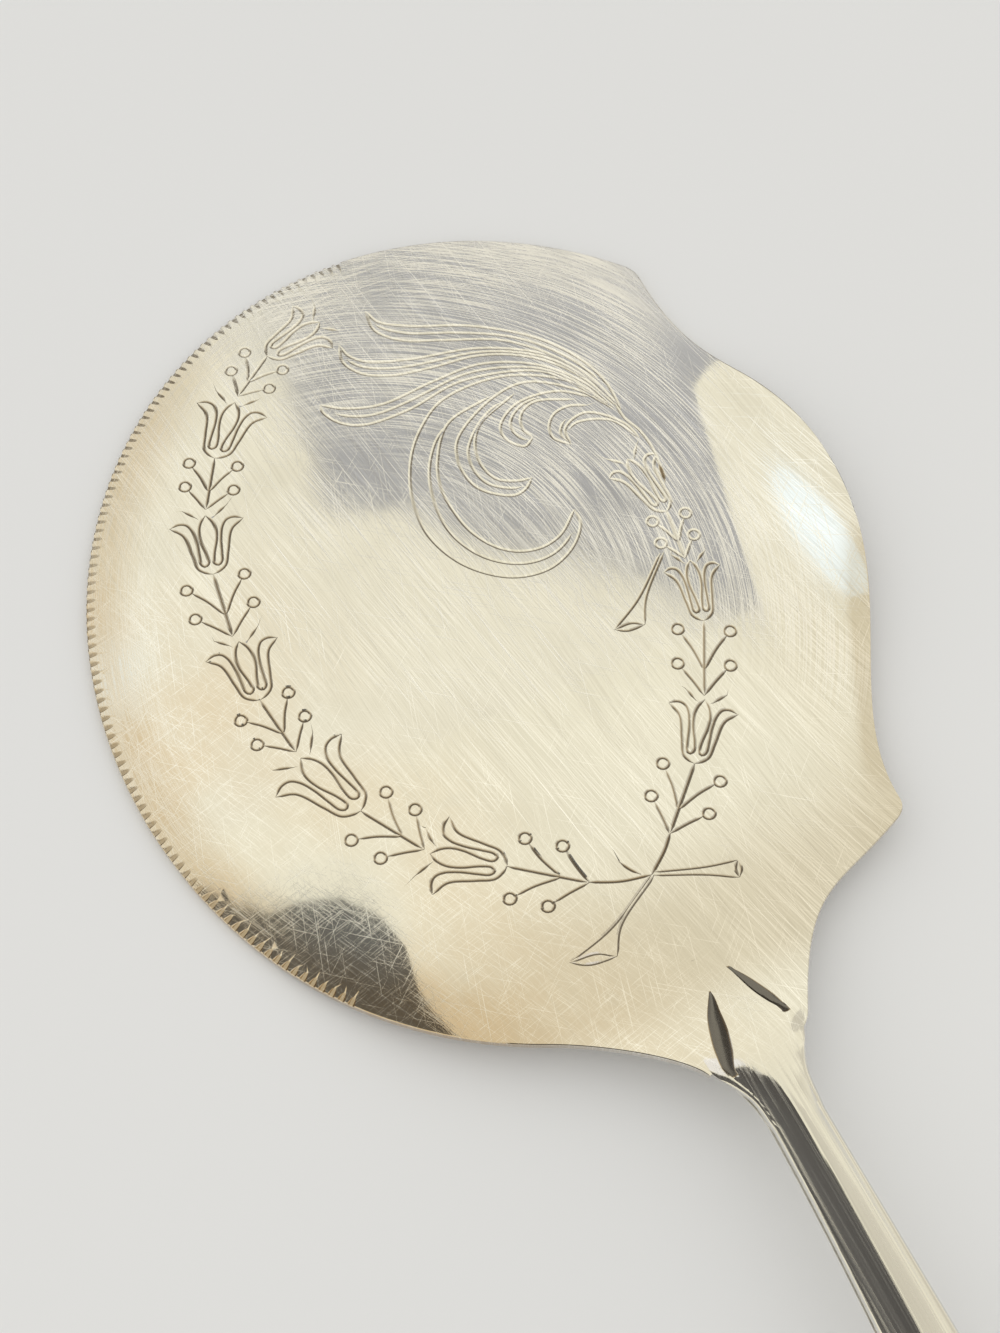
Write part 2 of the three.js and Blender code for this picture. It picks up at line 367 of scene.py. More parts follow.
@dataclass(frozen=True)
class WornSilver(Finish):
    """Old silver: hairlines and haze on the blade, streaks on the handle, tarnish in the engraving,
    painted shade in the tooth scoops and flutes, and painted shade over a few zones of the blade.
    """

    name: str = "silver_finish"
    silver: Colour = (0.80, 0.785, 0.735)
    grey: Colour = (0.68, 0.66, 0.61)
    bright: Colour = (1.0, 0.99, 0.97)
    warm: Colour = (0.76, 0.63, 0.47)
    # Colour multiplied in as painted shade, for darker reflections on the lobe's edge, the right rear,
    # the root and the toothed rim.
    painted_shade: Colour = (0.78, 0.73, 0.66)
    # Brown of the cut marks: tarnish in the engraving, painted shade in the tooth scoops.
    brown: Colour = (0.30, 0.23, 0.15)
    # Near-black of the deepest cut marks: painted shade with tarnish in the flutes.
    dark: Colour = (0.17, 0.16, 0.15)
    roughness: float = 0.035
    most_rough: float = 0.6
    cut_rough: float = 0.2
    scratch_depth: float = 0.002
    wave_depth: float = 0.015
    oval: Pair = (56.2, 50.1)
    # Repeats per metre of the cloudy patterns.
    cloud_grain: float = 42.0
    patch_grain: float = 95.0
    spot_grain: float = 210.0
    wave_grain: float = 55.0
    # Levels of a pattern, or of the nearness to the edge, at which a mark begins and is full.
    patch_level: Pair = (0.28, 0.6)
    spot_level: Pair = (0.68, 0.76)
    grey_level: Pair = (0.3, 0.75)
    stain_level: Pair = (0.36, 0.62)
    root_shade_level: Pair = (0.1, 0.45)
    rim_level: Pair = (0.40, 0.68)
    arc_level: Pair = (0.42, 0.62)
    rim_near: Pair = (0.55, 0.95)
    warm_near: Pair = (0.7, 0.95)
    # Levels of the cut mark at which brown and then near-black begin and are full; the near-black, mostly
    # in the flutes, is painted shade with tarnish.
    brown_depth: Pair = (0.0, 0.6)
    dark_depth: Pair = (0.65, 1.0)
    # Zones of the part.
    handle_zone: Zone = (Ramp(1, 0, -59, -67),)
    corner_zone: Zone = (Ramp(-0.5, 0.9, 18, 34),)
    toothed_zone: Zone = (Ramp(-0.3, 0.9, 8, 40),)
    warm_zone: Zone = (Ramp(0, 1, 12, 34),)
    # The next three zones are painted shade: darker reflections along the curled lobe's outer edge, over
    # the right rear of the blade and near the root.
    lobe_edge_shade_zone: Zone = (Ramp(-0.45, -1, 43.2, 46), Ramp(1, 0, -6, -17), Ramp(1, 0, -42, -34))
    right_shade_zone: Zone = (Ramp(0, -1, 18, 34), Ramp(1, 0, 0, -22))
    root_shade_zone: Zone = (Ramp(1, 0, -30, -46), Ramp(1, 0, -58, -51))
    haze_zone: Zone = (Ramp(0.45, -0.9, 33, 46), Ramp(1, 0, 18, 30))
    rim_zone: Zone = (Ramp(0.75, 0.6, 4, 22),)
    arc_zone: Zone = (Ramp(0.5, -0.8, 4, 18), Ramp(0, 1, -37, -31))
    # Scratches.
    brush: Hair = Hair(15, 18, 0.17, (0.40, 0.70))
    fine: Hair = Hair(5, 24, 0.24, (0.42, 0.74))
    long: Hair = Hair(10, 24, 0.15, (0.62, 0.70))
    streak: Hair = Hair(1, 30, 0.2, (0.35, 0.75))
    crossing: Sequence[tuple[Hair, float]] = (
        (Hair(-14, 14, 0.12, (0.64, 0.72)), 0.8),
        (Hair(52, 9, 0.12, (0.64, 0.73)), 0.7),
        (Hair(-48, 8, 0.11, (0.65, 0.74)), 0.7),
    )
    wild: Sequence[Hair] = (Hair(28, 5, 0.12, (0.56, 0.68)), Hair(-75, 4, 0.11, (0.58, 0.68)))
    wild_share: float = 0.5
    corner_bare: float = 0.75
    corner_shallow: float = 0.45
    rim_lines: Pair = (7.0, 190.0)
    arc_middle: Pair = (4.6, 16.0)
    arc_lines: Pair = (2.6, 0.17)
    arc_least: float = 0.55
    # What the stains and the painted shade do.
    tooth_stain: float = 0.6
    rim_stain: float = 0.4
    root_shade: float = 0.7
    right_shade: float = 0.4
    rim_shade: float = 0.8
    grey_share: float = 0.45

    @staticmethod
    def inside(graph: Graph, zone: Zone) -> Value:
        """Share of a zone at each place."""
        x, y, _ = graph.parts(graph.place())
        return math.prod(ramp.over(x, y) for ramp in zone)

    def near_edge(self, graph: Graph) -> Value:
        """How near a place lies to the edge of the oval, from 0 at its middle to 1 at the edge.

        Args:
            graph: The material's graph.

        Returns:
            The nearness.
        """
        x, y, _ = graph.parts(graph.place())
        along, aside = x / (self.oval[0] * MM), y / (self.oval[1] * MM)
        return along * along + aside * aside

    def round_lines(self, graph: Graph) -> Value:
        """Brushed lines that run round the tip and the toothed side, near the edge.

        Args:
            graph: The material's graph.

        Returns:
            1 in a line, 0 beside it.
        """
        x, y, _ = graph.parts(graph.place())
        edge = self.near_edge(graph)
        around, across = self.rim_lines
        where = graph.joined(graph.angle(x, y) * around, edge * across)
        lines = graph.noise(where, 1.0, 3.0).between(*self.rim_level)
        return lines * edge.between(*self.rim_near) * self.inside(graph, self.rim_zone)

    def arcs(self, graph: Graph) -> Value:
        """Brushed lines in wide arcs over the tip and the shaped side.

        Args:
            graph: The material's graph.

        Returns:
            1 in a line, 0 beside it.
        """
        x, y, _ = graph.parts(graph.place())
        along, aside = x - self.arc_middle[0] * MM, y - self.arc_middle[1] * MM
        far = (along * along + aside * aside) ** 0.5
        around, across = self.arc_lines
        where = graph.joined(graph.angle(along, aside) * around, far / (across * MM))
        lines = graph.noise(where, 1.0, 2.0).between(*self.arc_level)
        return lines * self.inside(graph, self.arc_zone)

    def hairlines(self, graph: Graph, blade: Value, corner: Value, bare: Value) -> Value:
        """Single scratches on the blade.

        Args:
            graph: The material's graph.
            blade: 1 on the blade.
            corner: 1 at the corner of the toothed side, where they run wild.
            bare: 1 where the long ones show.

        Returns:
            1 in a scratch, 0 beside it.
        """
        lines = self.long.over(graph) * bare
        lines = lines + sum(hair.over(graph) * share for hair, share in self.crossing)
        wild = sum(hair.over(graph) for hair in self.wild) * corner * self.wild_share
        return ((lines + wild) * blade).least(1.0)

    def paint(self, graph: Graph) -> None:
        """Fill the graph.

        Args:
            graph: The material's graph.
        """
        handle = self.inside(graph, self.handle_zone)
        blade = 1.0 - handle
        corner = self.inside(graph, self.corner_zone)
        bare = blade * (1.0 - corner * self.corner_bare)
        cloud = graph.noise(graph.place(), self.cloud_grain, 3.0)
        patches = graph.noise(graph.place(), self.patch_grain, 2.0).between(*self.patch_level)
        lines = self.hairlines(graph, blade, corner, bare)
        arcs = self.arcs(graph) * (self.arc_least + patches * (1.0 - self.arc_least)) * blade
        spots = graph.noise(graph.place(), self.spot_grain, 1.0).between(*self.spot_level)
        marks = (
            (lines, Wear(bright=0.9, rough=0.18, deep=1.0)),
            (self.brush.over(graph) * patches * bare, Wear(bright=0.6, rough=0.05, deep=0.5)),
            (arcs, Wear(bright=0.65, rough=0.42, deep=0.5)),
            (self.round_lines(graph), Wear(bright=0.5, rough=0.35, deep=0.5)),
            (self.inside(graph, self.haze_zone), Wear(bright=0.5, rough=0.22)),
            (self.fine.over(graph) * bare, Wear(grey=0.85, rough=0.03)),
            (spots * blade, Wear(grey=0.3)),
            (self.streak.over(graph) * handle, Wear(grey=0.6, rough=0.28, deep=2.0)),
        )
        bright, grey, worn, deep = (
            sum(mark * getattr(wear, what) for mark, wear in marks if getattr(wear, what))
            for what in ("bright", "grey", "rough", "deep")
        )
        toothed = self.inside(graph, self.toothed_zone) * blade * cloud.between(*self.stain_level)
        warm = self.near_edge(graph).between(*self.warm_near) * self.inside(graph, self.warm_zone) * blade
        root = self.inside(graph, self.root_shade_zone) * cloud.between(*self.root_shade_level)
        right = self.inside(graph, self.right_shade_zone) * blade
        lobe = self.inside(graph, self.lobe_edge_shade_zone) * blade
        tarnish = toothed * self.tooth_stain + warm * self.rim_stain
        # Painted shade: darker reflections on the lobe's edge, the right rear, the root and the rim; the
        # rim also gets real warm tarnish above.
        painted_shade = lobe + root * self.root_shade + right * self.right_shade + warm * self.rim_shade
        cut = recess(graph)
        colour = graph.mixed(cloud.between(*self.grey_level) * self.grey_share, self.silver, self.grey)
        colour = graph.mixed(tarnish.least(1.0), colour, self.warm)
        colour = graph.mixed(grey.least(1.0), colour, self.grey)
        colour = graph.mixed(bright.least(1.0), colour, self.bright)
        # Multiply in the painted shade.
        colour = graph.mixed(painted_shade.least(1.0), colour, self.painted_shade, "MULTIPLY")
        # The cut mark: brown for the engraving's tarnish and the scoops' painted shade, near-black mostly
        # in the flutes as painted shade with tarnish.
        colour = graph.mixed(cut.between(*self.brown_depth), colour, self.brown)
        colour = graph.mixed(cut.between(*self.dark_depth), colour, self.dark)
        rough = (self.roughness + worn + cut * self.cut_rough).least(self.most_rough)
        wavy = graph.bump(graph.noise(graph.place(), self.wave_grain, 1.0), self.wave_depth)
        height = 1.0 + lines * corner * self.corner_shallow - deep
        normal = graph.bump(height, self.scratch_depth, wavy)
        graph.surface({"Base Color": colour, "Metallic": 1.0, "Roughness": rough, "Normal": normal})


@dataclass(frozen=True)
class DullMetal(Finish):
    """Solder or bar metal without polish."""

    name: str
    light: Colour
    dark: Colour
    roughness: float
    grain: float
    spread: float = 0.15
    depth: float = 0.02

    def paint(self, graph: Graph) -> None:
        """Fill the graph.

        Args:
            graph: The material's graph.
        """
        cloud = graph.noise(graph.place(), self.grain, 4.0, 0.6)
        colour = graph.mixed(cloud.between(0.3, 0.7), self.light, self.dark)
        rough = self.roughness + cloud * self.spread
        normal = graph.bump(cloud, self.depth)
        graph.surface({"Base Color": colour, "Metallic": 1.0, "Roughness": rough, "Normal": normal})


@dataclass(frozen=True)
class PaleFloor(Finish):
    """Plain pale table."""

    name: str = "floor_finish"
    light: Colour = (0.80, 0.795, 0.78)
    dark: Colour = (0.78, 0.775, 0.76)
    grain: float = 9.0
    roughness: float = 0.7

    def paint(self, graph: Graph) -> None:
        """Fill the graph.

        Args:
            graph: The material's graph.
        """
        colour = graph.mixed(graph.noise(graph.place(), self.grain), self.light, self.dark)
        graph.surface({"Base Color": colour, "Roughness": self.roughness})


SILVER = WornSilver()
SOLDER = DullMetal("solder_finish", (0.80, 0.78, 0.74), (0.66, 0.64, 0.60), 0.26, 900.0)
CORE = DullMetal("core_finish", (0.52, 0.50, 0.47), (0.36, 0.34, 0.32), 0.42, 500.0)


# Curves and meshes


def smooth_share(value: Any, low: float, high: float) -> Any:
    """Smooth step of a number or array from 0 at low to 1 at high."""
    share = np.clip((np.asarray(value, float) - low) / (high - low), 0.0, 1.0)
    return share * share * (3 - 2 * share)


def flowing(keys: Sequence[float], values: Any, where: Any) -> Any:
    """Smooth curve through given values.

    Args:
        keys: Rising positions of the values.
        values: Numbers or points at the positions.
        where: Positions to read.

    Returns:
        Values at those positions, held beyond both ends.
    """
    keys, values = np.asarray(keys, float), np.asarray(values, float)
    where = np.clip(np.asarray(where, float), keys[0], keys[-1])
    slopes = np.gradient(values, keys, axis=0)
    i = np.clip(np.searchsorted(keys, where, "right") - 1, 0, len(keys) - 2)
    run = keys[i + 1] - keys[i]
    t = (where - keys[i]) / run
    if values.ndim > 1:
        t, run = t[..., None], run[..., None]
    start, end = (2 * t + 1) * (t - 1) ** 2, t * t * (3 - 2 * t)
    bend = t * (t - 1) ** 2 * slopes[i] + t * t * (t - 1) * slopes[i + 1]
    return start * values[i] + end * values[i + 1] + run * bend


def spaced(points: Points, step: float) -> Points:
    """Points at even distances along a line of points.

    Args:
        points: The line.
        step: Distance between points.

    Returns:
        The new line, with both ends kept.
    """
    far = np.concatenate([[0], np.cumsum(np.linalg.norm(np.diff(points, axis=0), axis=1))])
    marks = np.linspace(0, far[-1], max(2, int(math.ceil(far[-1] / step)) + 1))
    return np.stack([np.interp(marks, far, points[:, k]) for k in range(points.shape[1])], 1)


def curve_through(points: Sequence[Pair], step: float = 0.3) -> Points:
    """Smooth line through points of the plane.

    Args:
        points: What it passes.
        step: Distance between the points of the result.

    Returns:
        The line.
    """
    ends = np.asarray(points, float)
    if len(ends) == 2:
        return spaced(ends, step)
    keys = np.concatenate([[0], np.cumsum(np.linalg.norm(np.diff(ends, axis=0), axis=1) ** 0.5)])
    return spaced(flowing(keys, ends, np.linspace(0, keys[-1], 24 * len(ends))), step)


def bezier(start: Pair, leaving: Pair, arriving: Pair, end: Pair, step: float) -> Points:
    """Curve that leaves its start and reaches its end as two shifts say.

    Args:
        start: First point.
        leaving: Shift from the first point to its handle.
        arriving: Shift from the last point to its handle.
        end: Last point.
        step: Distance between the points of the result.

    Returns:
        The curve.
    """
    a, d = np.array(start, float), np.array(end, float)
    b, c = a + np.array(leaving), d + np.array(arriving)
    t = np.linspace(0, 1, 80)[:, None]
    line = (1 - t) ** 3 * a + 3 * t * (1 - t) ** 2 * b + 3 * t * t * (1 - t) * c + t**3 * d
    return spaced(line, step)


def outward(ring: Points) -> Points:
    """Outward unit normals of a closed ring that runs anticlockwise.

    Args:
        ring: The ring.

    Returns:
        One normal for each point.
    """
    along = np.roll(ring, -1, 0) - np.roll(ring, 1, 0)
    along /= np.linalg.norm(along, axis=1)[:, None]
    return np.stack([along[:, 1], -along[:, 0]], 1)


def linked(name: str, data: bpy.types.ID) -> bpy.types.Object:
    """Put a mesh, lamp or camera into the scene.

    Args:
        name: Name of the object.
        data: What it shows.

    Returns:
        The object.
    """
    made = bpy.data.objects.new(name, data)
    bpy.context.scene.collection.objects.link(made)
    return made


class Plane:
    """Points and lines of the plane, to be filled with triangles."""

    INSIDE_ONLY = 1
    NEAREST = 1e-5

    def __init__(self) -> None:
        """Start empty."""
        self.points: list[Points] = []
        self.edges: list[tuple[int, int]] = []
        self.count = 0

    def add(self, points: Points, joined: bool = True, closed: bool = False) -> None:
        """Put in points, and the lines between them.

        Args:
            points: The points in order.
            joined: Whether lines join them.
            closed: Whether a line joins the last to the first.
        """
        first, size = self.count, len(points)
        self.points.append(np.asarray(points, float))
        self.count += size
        if joined:
            self.edges += [(first + i, first + i + 1) for i in range(size - 1)]
        if closed:
            self.edges.append((first + size - 1, first))

    def filled(self) -> tuple[Points, list[tuple[int, ...]], list[int]]:
        """Fill the inside of the closed lines.

        Returns:
            Points, triangles, and the new number of each point that was put in.
        """
        given = [Vector(p) for p in np.concatenate(self.points)]
        made = delaunay_2d_cdt(given, self.edges, [], self.INSIDE_ONLY, self.NEAREST)
        moved = [0] * len(given)
        for new, olds in enumerate(made[3]):
            for old in olds:
                moved[old] = new
        return np.array([(v.x, v.y) for v in made[0]]), [tuple(f) for f in made[2]], moved


@dataclass
class Piece:
    """Vertices and faces of one piece, on its way to a Blender object."""

    name: str
    points: list[Points] = field(default_factory=list)
    faces: list[tuple[int, ...]] = field(default_factory=list)
    recesses: list[Points] = field(default_factory=list)
    count: int = 0

    def add(self, points: Points, recesses: Any = 0.0) -> int:
        """Put in vertices.

        Args:
            points: Their places, in millimetres.
            recesses: How deep in a groove they lie.

        Returns:
            Number of the first one.
        """
        first = self.count
        self.points.append(np.asarray(points, float))
        self.recesses.append(np.broadcast_to(np.asarray(recesses, float), len(points)))
        self.count += len(points)
        return first

    def band(self, low: Sequence[int], high: Sequence[int]) -> None:
        """Join two closed rings of equal count.

        Args:
            low: Vertices of one ring.
            high: Vertices of the other.
        """
        for i in range(len(low)):
            k = (i + 1) % len(low)
            self.faces.append((low[i], low[k], high[k], high[i]))

    def loft(self, rings: Sequence[Points], recesses: Sequence[Any]) -> None:
        """Join closed rings into a solid, with a point at the middle of each end.

        Args:
            rings: The rings in order.
            recesses: How deep in a groove the points of each ring lie.
        """
        size = len(rings[0])
        firsts = [self.add(ring, deep) for ring, deep in zip(rings, recesses)]
        for low, high in zip(firsts, firsts[1:]):
            self.band(range(low, low + size), range(high, high + size))
        for ring, first, turn in ((rings[0], firsts[0], -1), (rings[-1], firsts[-1], 1)):
            apex = self.add(ring.mean(0)[None])
            loop = list(range(first, first + size))[::turn]
            self.faces += [(loop[i], loop[(i + 1) % size], apex) for i in range(size)]

    def build(self, finish: Finish, slot: Slot, nodes: Sequence[str], sharp: float) -> bpy.types.Object:
        """Make the object and tie it to the frame.

        Args:
            finish: Its material.
            slot: Material slot of the record; not used.
            nodes: CAD nodes that it stands for.
            sharp: Angle above which an edge is sharp, in degrees.

        Returns:
            The object.
        """
        mesh = bpy.data.meshes.new(self.name)
        mesh.from_pydata((np.concatenate(self.points) * MM).tolist(), [], self.faces)
        mesh.validate()
        mesh.attributes.new("recess", "FLOAT", "POINT").data.foreach_set(
            "value", np.concatenate(self.recesses).astype(np.float32)
        )
        mesh.shade_smooth()
        mesh.set_sharp_from_angle(angle=math.radians(sharp))
        mesh.materials.append(finish.material())
        made = linked(self.name, mesh)
        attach(made, "root")
        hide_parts(*nodes)
        LOG.info("%s: %d vertices, %d faces", self.name, len(mesh.vertices), len(mesh.polygons))
        return made


# Engraving


@dataclass
class Stroke:
    """One cut of the graver: a V groove that thins towards its ends."""

    line: Points
    half_width: float = 0.25
    depth: float = 0.115
    tarnish: float = 0.6
    closed: bool = False
    thinning: float = 0.9
    end_share: float = 0.35

    def widths(self) -> Points:
        """Half width at each point of the line.

        Returns:
            The half widths.
        """
        if self.closed:
            return np.full(len(self.line), self.half_width)
        step = np.linalg.norm(np.diff(self.line, axis=0), axis=1)
        far = np.concatenate([[0], np.cumsum(step)])
        near_end = np.minimum(far, far[-1] - far)
        full = smooth_share(near_end, 0, self.thinning)
        return self.half_width * (self.end_share + (1 - self.end_share) * full)

    def edges(self) -> tuple[Points, Points]:
        """Lines along both rims of the groove.

        Returns:
            The two lines.
        """
        ends = (np.roll(self.line, -1, 0), np.roll(self.line, 1, 0))
        along = ends[0] - ends[1] if self.closed else np.gradient(self.line, axis=0)
        along /= np.linalg.norm(along, axis=1)[:, None]
        aside = np.stack([-along[:, 1], along[:, 0]], 1) * self.widths()[:, None]
        return self.line + aside, self.line - aside

    def cut(self, points: Points) -> Points:
        """Depth of the groove at points of the plane.

        Args:
            points: The points.

        Returns:
            Depth at each, 0 outside the groove.
        """
        line, widths = self.line, self.widths()
        if self.closed:
            line, widths = np.vstack([line, line[:1]]), np.append(widths, widths[0])
        reach = self.half_width
        near = np.all((points > line.min(0) - reach) & (points < line.max(0) + reach), 1)
        depth = np.zeros(len(points))
        if near.any():
            start, run = line[:-1], np.diff(line, axis=0)
            gap = points[near][:, None] - start
            t = np.clip((gap * run).sum(2) / (run * run).sum(1), 0, 1)
            away = np.linalg.norm(gap - t[..., None] * run, axis=2)
            width = widths[:-1] + t * np.diff(widths)
            slope = self.depth / self.half_width
            depth[near] = np.max(np.maximum(0, width - away) * slope, 1)
        return depth


@dataclass
class Leaf:
    """A leaf of the plume: two edges that meet at the tip, and a rib between them."""

    upper: Sequence[Pair]
    lower: Sequence[Pair]
    rib_from: float = 0.12
    rib_to: float = 0.94
    half_width: float = 0.23
    depth: float = 0.105
    tarnish: float = 0.16
    samples: int = 120

    def strokes(self) -> list[Stroke]:
        """The three cuts of the leaf.

        Returns:
            Both edges and the rib.
        """
        upper, lower = curve_through(self.upper), curve_through(self.lower)
        shares = np.linspace(0, 1, self.samples)
        edges = [
            np.stack([np.interp(shares, np.linspace(0, 1, len(e)), e[:, k]) for k in (0, 1)], 1)
            for e in (upper, lower)
        ]
        rib = ((edges[0] + edges[1]) / 2)[(shares >= self.rib_from) & (shares <= self.rib_to)]
        lines = (upper, lower, spaced(rib, 0.3))
        return [Stroke(line, self.half_width, self.depth, self.tarnish) for line in lines]


@dataclass(frozen=True)
class Flower:
    """Place of one bellflower and of the berry sprig behind it, and how far each opens."""

    base: Pair
    tip: Pair
    sprig_end: Pair
    spread: float = 0.88
    sprig_spread: float = 1.0
    tarnish: float = 0.52


@dataclass
class Engraving:
    """Wreath of bellflowers and berries, with two crossed stems and a scrolled plume."""

    flowers: Sequence[Flower] = (
        Flower((46.1, 13.1), (48.2, 4.9), (41.9, 18.7), 0.84, tarnish=0.3),
        Flower((34.3, 24.9), (41.1, 19.5), (27.8, 28.5)),
        Flower((18.7, 31.0), (26.9, 28.9), (9.9, 31.9)),
        Flower((0.5, 32.0), (8.8, 31.5), (-7.3, 30.7)),
        Flower((-17.4, 26.7), (-8.4, 30.5), (-24.6, 22.1), 0.9),
        Flower((-30.6, 14.4), (-25.5, 21.6), (-36.3, 7.1), 0.9),
        Flower((3.5, -23.2), (12.4, -22.2), (-3.3, -22.2), 0.64, 0.76, 0.2),
        Flower((-12.0, -20.3), (-3.9, -22.6), (-20.7, -15.8), 0.67, 0.78),
        Flower((-28.2, -10.6), (-21.4, -15.5), (-34.8, -4.0), 0.8, 0.9),
    )
    # Half a flower, in shares of its length: along it, aside from it.
    outer_petal: Sequence[Pair] = (
        (0, 0), (0.03, 0.09), (0.12, 0.22), (0.35, 0.29), (0.71, 0.40), (0.86, 0.61),
    )
    inner_petal: Sequence[Pair] = (
        (0.86, 0.61), (0.91, 0.47), (0.885, 0.335), (0.78, 0.25), (0.58, 0.20), (0.35, 0.185),
        (0.19, 0.165), (0.145, 0.11), (0.185, 0.05), (0.33, 0.06), (0.58, 0.13), (0.76, 0.14),
    (0.9, 0.09), (1, 0), )
    tick: Sequence[Pair] = ((0.97, 0.15), (1.05, 0.25), (1.13, 0.37))
    # Half a sprig, in shares of its length: berry, bend of its stalk, foot of the stalk.
    berries: Sequence[tuple[Pair, Pair, Pair]] = (
        ((0.13, 0.41), (0.38, 0.19), (0.68, 0)),
        ((0.60, 0.41), (0.82, 0.18), (1.02, 0)),
    )
    berry_radius: float = 0.7
    # Half width and depth of each kind of cut.
    stem_cut: Pair = (0.27, 0.12)
    stalk_cut: Pair = (0.24, 0.11)
    thin_cut: Pair = (0.22, 0.1)
    end_cut: Pair = (0.32, 0.15)
    end_tarnish: float = 0.9
    berry_sides: int = 16
    leaf_tarnish: float = 0.08
    step: float = 0.25
    stems: Sequence[Sequence[Pair]] = (
        ((-36.3, 7.1), (-37.8, 3.8), (-38.6, 0.3)),
        ((-34.8, -4.0), (-36.5, -2.4), (-38.6, 0.3)),
        ((-35.6, 2.8), (-36.9, 2.2), (-38.0, 1.4)),
    )
    # Horns: bows of the mouth, half width of the narrow end, place and half width of the bend.
    mouth_bows: Pair = (0.14, 0.16)
    horn_tip: float = 0.2
    horn_bend: Pair = (0.62, 0.5)
    # Each horn: narrow end, the two corners of its mouth, and its tarnish.
    horns: Sequence[tuple[Pair, Pair, Pair, float]] = (
        ((-1.6, -19.9), (-8.6, -10.0), (-9.5, -13.6), 0.5),
        ((-38.8, 0.4), (-44.2, 13.2), (-45.8, 8.3), 0.12),
        ((-38.6, 0.0), (-41.2, -9.1), (-43.2, -8.2), 0.42),
    )
    plume: Sequence[Leaf] = (
        Leaf(
            ((19.5, -24.8), (23.9, -24.9), (28.6, -23.5), (33.9, -19.9), (39.3, -12.9), (42.8, -5.3),
             (45.1, -2.0), (47.3, -1.2)),
            ((20.5, -24.7), (25.6, -23.4), (30.2, -20.8), (35.4, -15.8), (38.8, -8.6), (41.1, -3.6),
             (44.0, -1.1), (47.3, -1.2)),
        ),
        Leaf(
            ((21.1, -24.5), (26.2, -23.0), (30.6, -20.3), (33.6, -16.4), (36.0, -11.4), (37.9, -3.2),
             (39.9, 1.9), (41.8, 3.6), (43.7, 4.0)),
            ((20.4, -24.4), (25.2, -22.8), (29.2, -20.3), (32.5, -16.5), (34.7, -11.5), (35.5, -5.2),
             (36.6, 0.0), (38.5, 3.2), (41.1, 4.6), (43.7, 4.0)),
        ),
        Leaf(
            ((20.3, -24.1), (25.0, -22.4), (30.1, -18.1), (33.3, -11.5), (33.4, -4.9), (32.9, 2.6),
             (34.3, 7.2), (36.1, 9.8)),
            ((20.2, -24.1), (23.4, -22.3), (28.9, -18.2), (31.9, -8.2), (30.7, -0.1), (31.0, 6.0),
             (32.6, 8.6), (34.9, 9.9), (36.1, 9.8)),
        ),
        Leaf(
            ((19.9, -23.9), (25.5, -21.3), (30.3, -13.5), (30.3, -4.8), (27.5, -0.5), (23.8, 2.5),
             (18.3, 4.7), (12.5, 5.0), (7.0, 2.7), (3.1, -1.8), (2.2, -6.5), (3.8, -10.5), (6.5, -12.8),
            (8.5, -12.9)), ((28.2, -10.2), (26.7, -3.9), (22.1, -0.4), (18.4, 0.8), (14.7, 0.8),
             (10.9, 0.0), (7.8, -1.8), (6.0, -4.1), (5.3, -7.0), (6.0, -9.9), (8.5, -12.9)),
            0.3,
        ),
        Leaf(
            ((20.6, -23.6), (24.2, -21.3), (28.3, -15.6), (27.9, -10.7), (24.2, -4.2), (21.4, -2.8),
             (18.5, -2.7), (16.0, -3.6), (13.5, -7.0), (13.8, -8.8), (14.9, -10.1)),
            ((27.3, -13.4), (25.0, -7.7), (23.0, -6.0), (20.6, -5.2), (18.3, -5.3), (16.5, -6.1),
             (15.2, -8.4), (14.9, -10.1)),
            0.3,
        ),
        Leaf(
            ((22.9, -22.0), (25.4, -18.5), (25.8, -13.1), (23.6, -9.8), (21.8, -9.5), (20.3, -10.3),
             (19.5, -11.4), (20.3, -12.8)),
            ((23.4, -19.9), (25.1, -15.4), (24.5, -13.4), (23.2, -12.4), (21.7, -12.2), (20.3, -12.8)),
            0.35,
        ),
        Leaf(
            ((21.8, -21.2), (22.7, -18.9), (22.4, -16.8), (21.0, -15.4), (19.2, -15.1), (17.3, -16.7)),
            ((14.6, -25.0), (17.6, -24.1), (20.9, -20.4), (19.8, -17.1), (17.3, -16.7)),
            0.6,
        ),
    )
    stalk: Sequence[Pair] = (
        (20.5, -24.5), (18.2, -24.6), (15.6, -25.5), (12.7, -25.8), (9.9, -25.5), (8.0, -25.2),
    )
    stalk_end: Sequence[Pair] = ((10.2, -25.5), (8.9, -25.3), (7.5, -25.0))
    under_leaf: Sequence[Pair] = ((14.6, -25.0), (18.5, -22.9), (20.0, -18.9), (19.5, -17.4))

    @staticmethod
    def placed(shares: Sequence[Pair], start: Pair, end: Pair, mirror: float = 1) -> Points:
        """Motif points laid along a line.

        Args:
            shares: Points in shares of the line's length.
            start: Where the line starts.
            end: Where it ends.
            mirror: Spread to the side, below 0 for the other side of the line.

        Returns:
            The points in the plane.
        """
        first = np.array(start, float)
        along = np.array(end, float) - first
        aside = np.array([-along[1], along[0]]) * mirror
        return np.array([first + u * along + v * aside for u, v in shares])

    def bellflower(self, one: Flower) -> list[Stroke]:
        """Cuts of one flower.

        Args:
            one: The flower.

        Returns:
            The cuts.
        """
        petals = (self.outer_petal, self.inner_petal, self.tick)
        made = []
        for spread in (one.spread, -one.spread):
            for petal in petals:
                line = curve_through(self.placed(petal, one.base, one.tip, spread), self.step)
                made.append(Stroke(line, tarnish=one.tarnish))
        return made

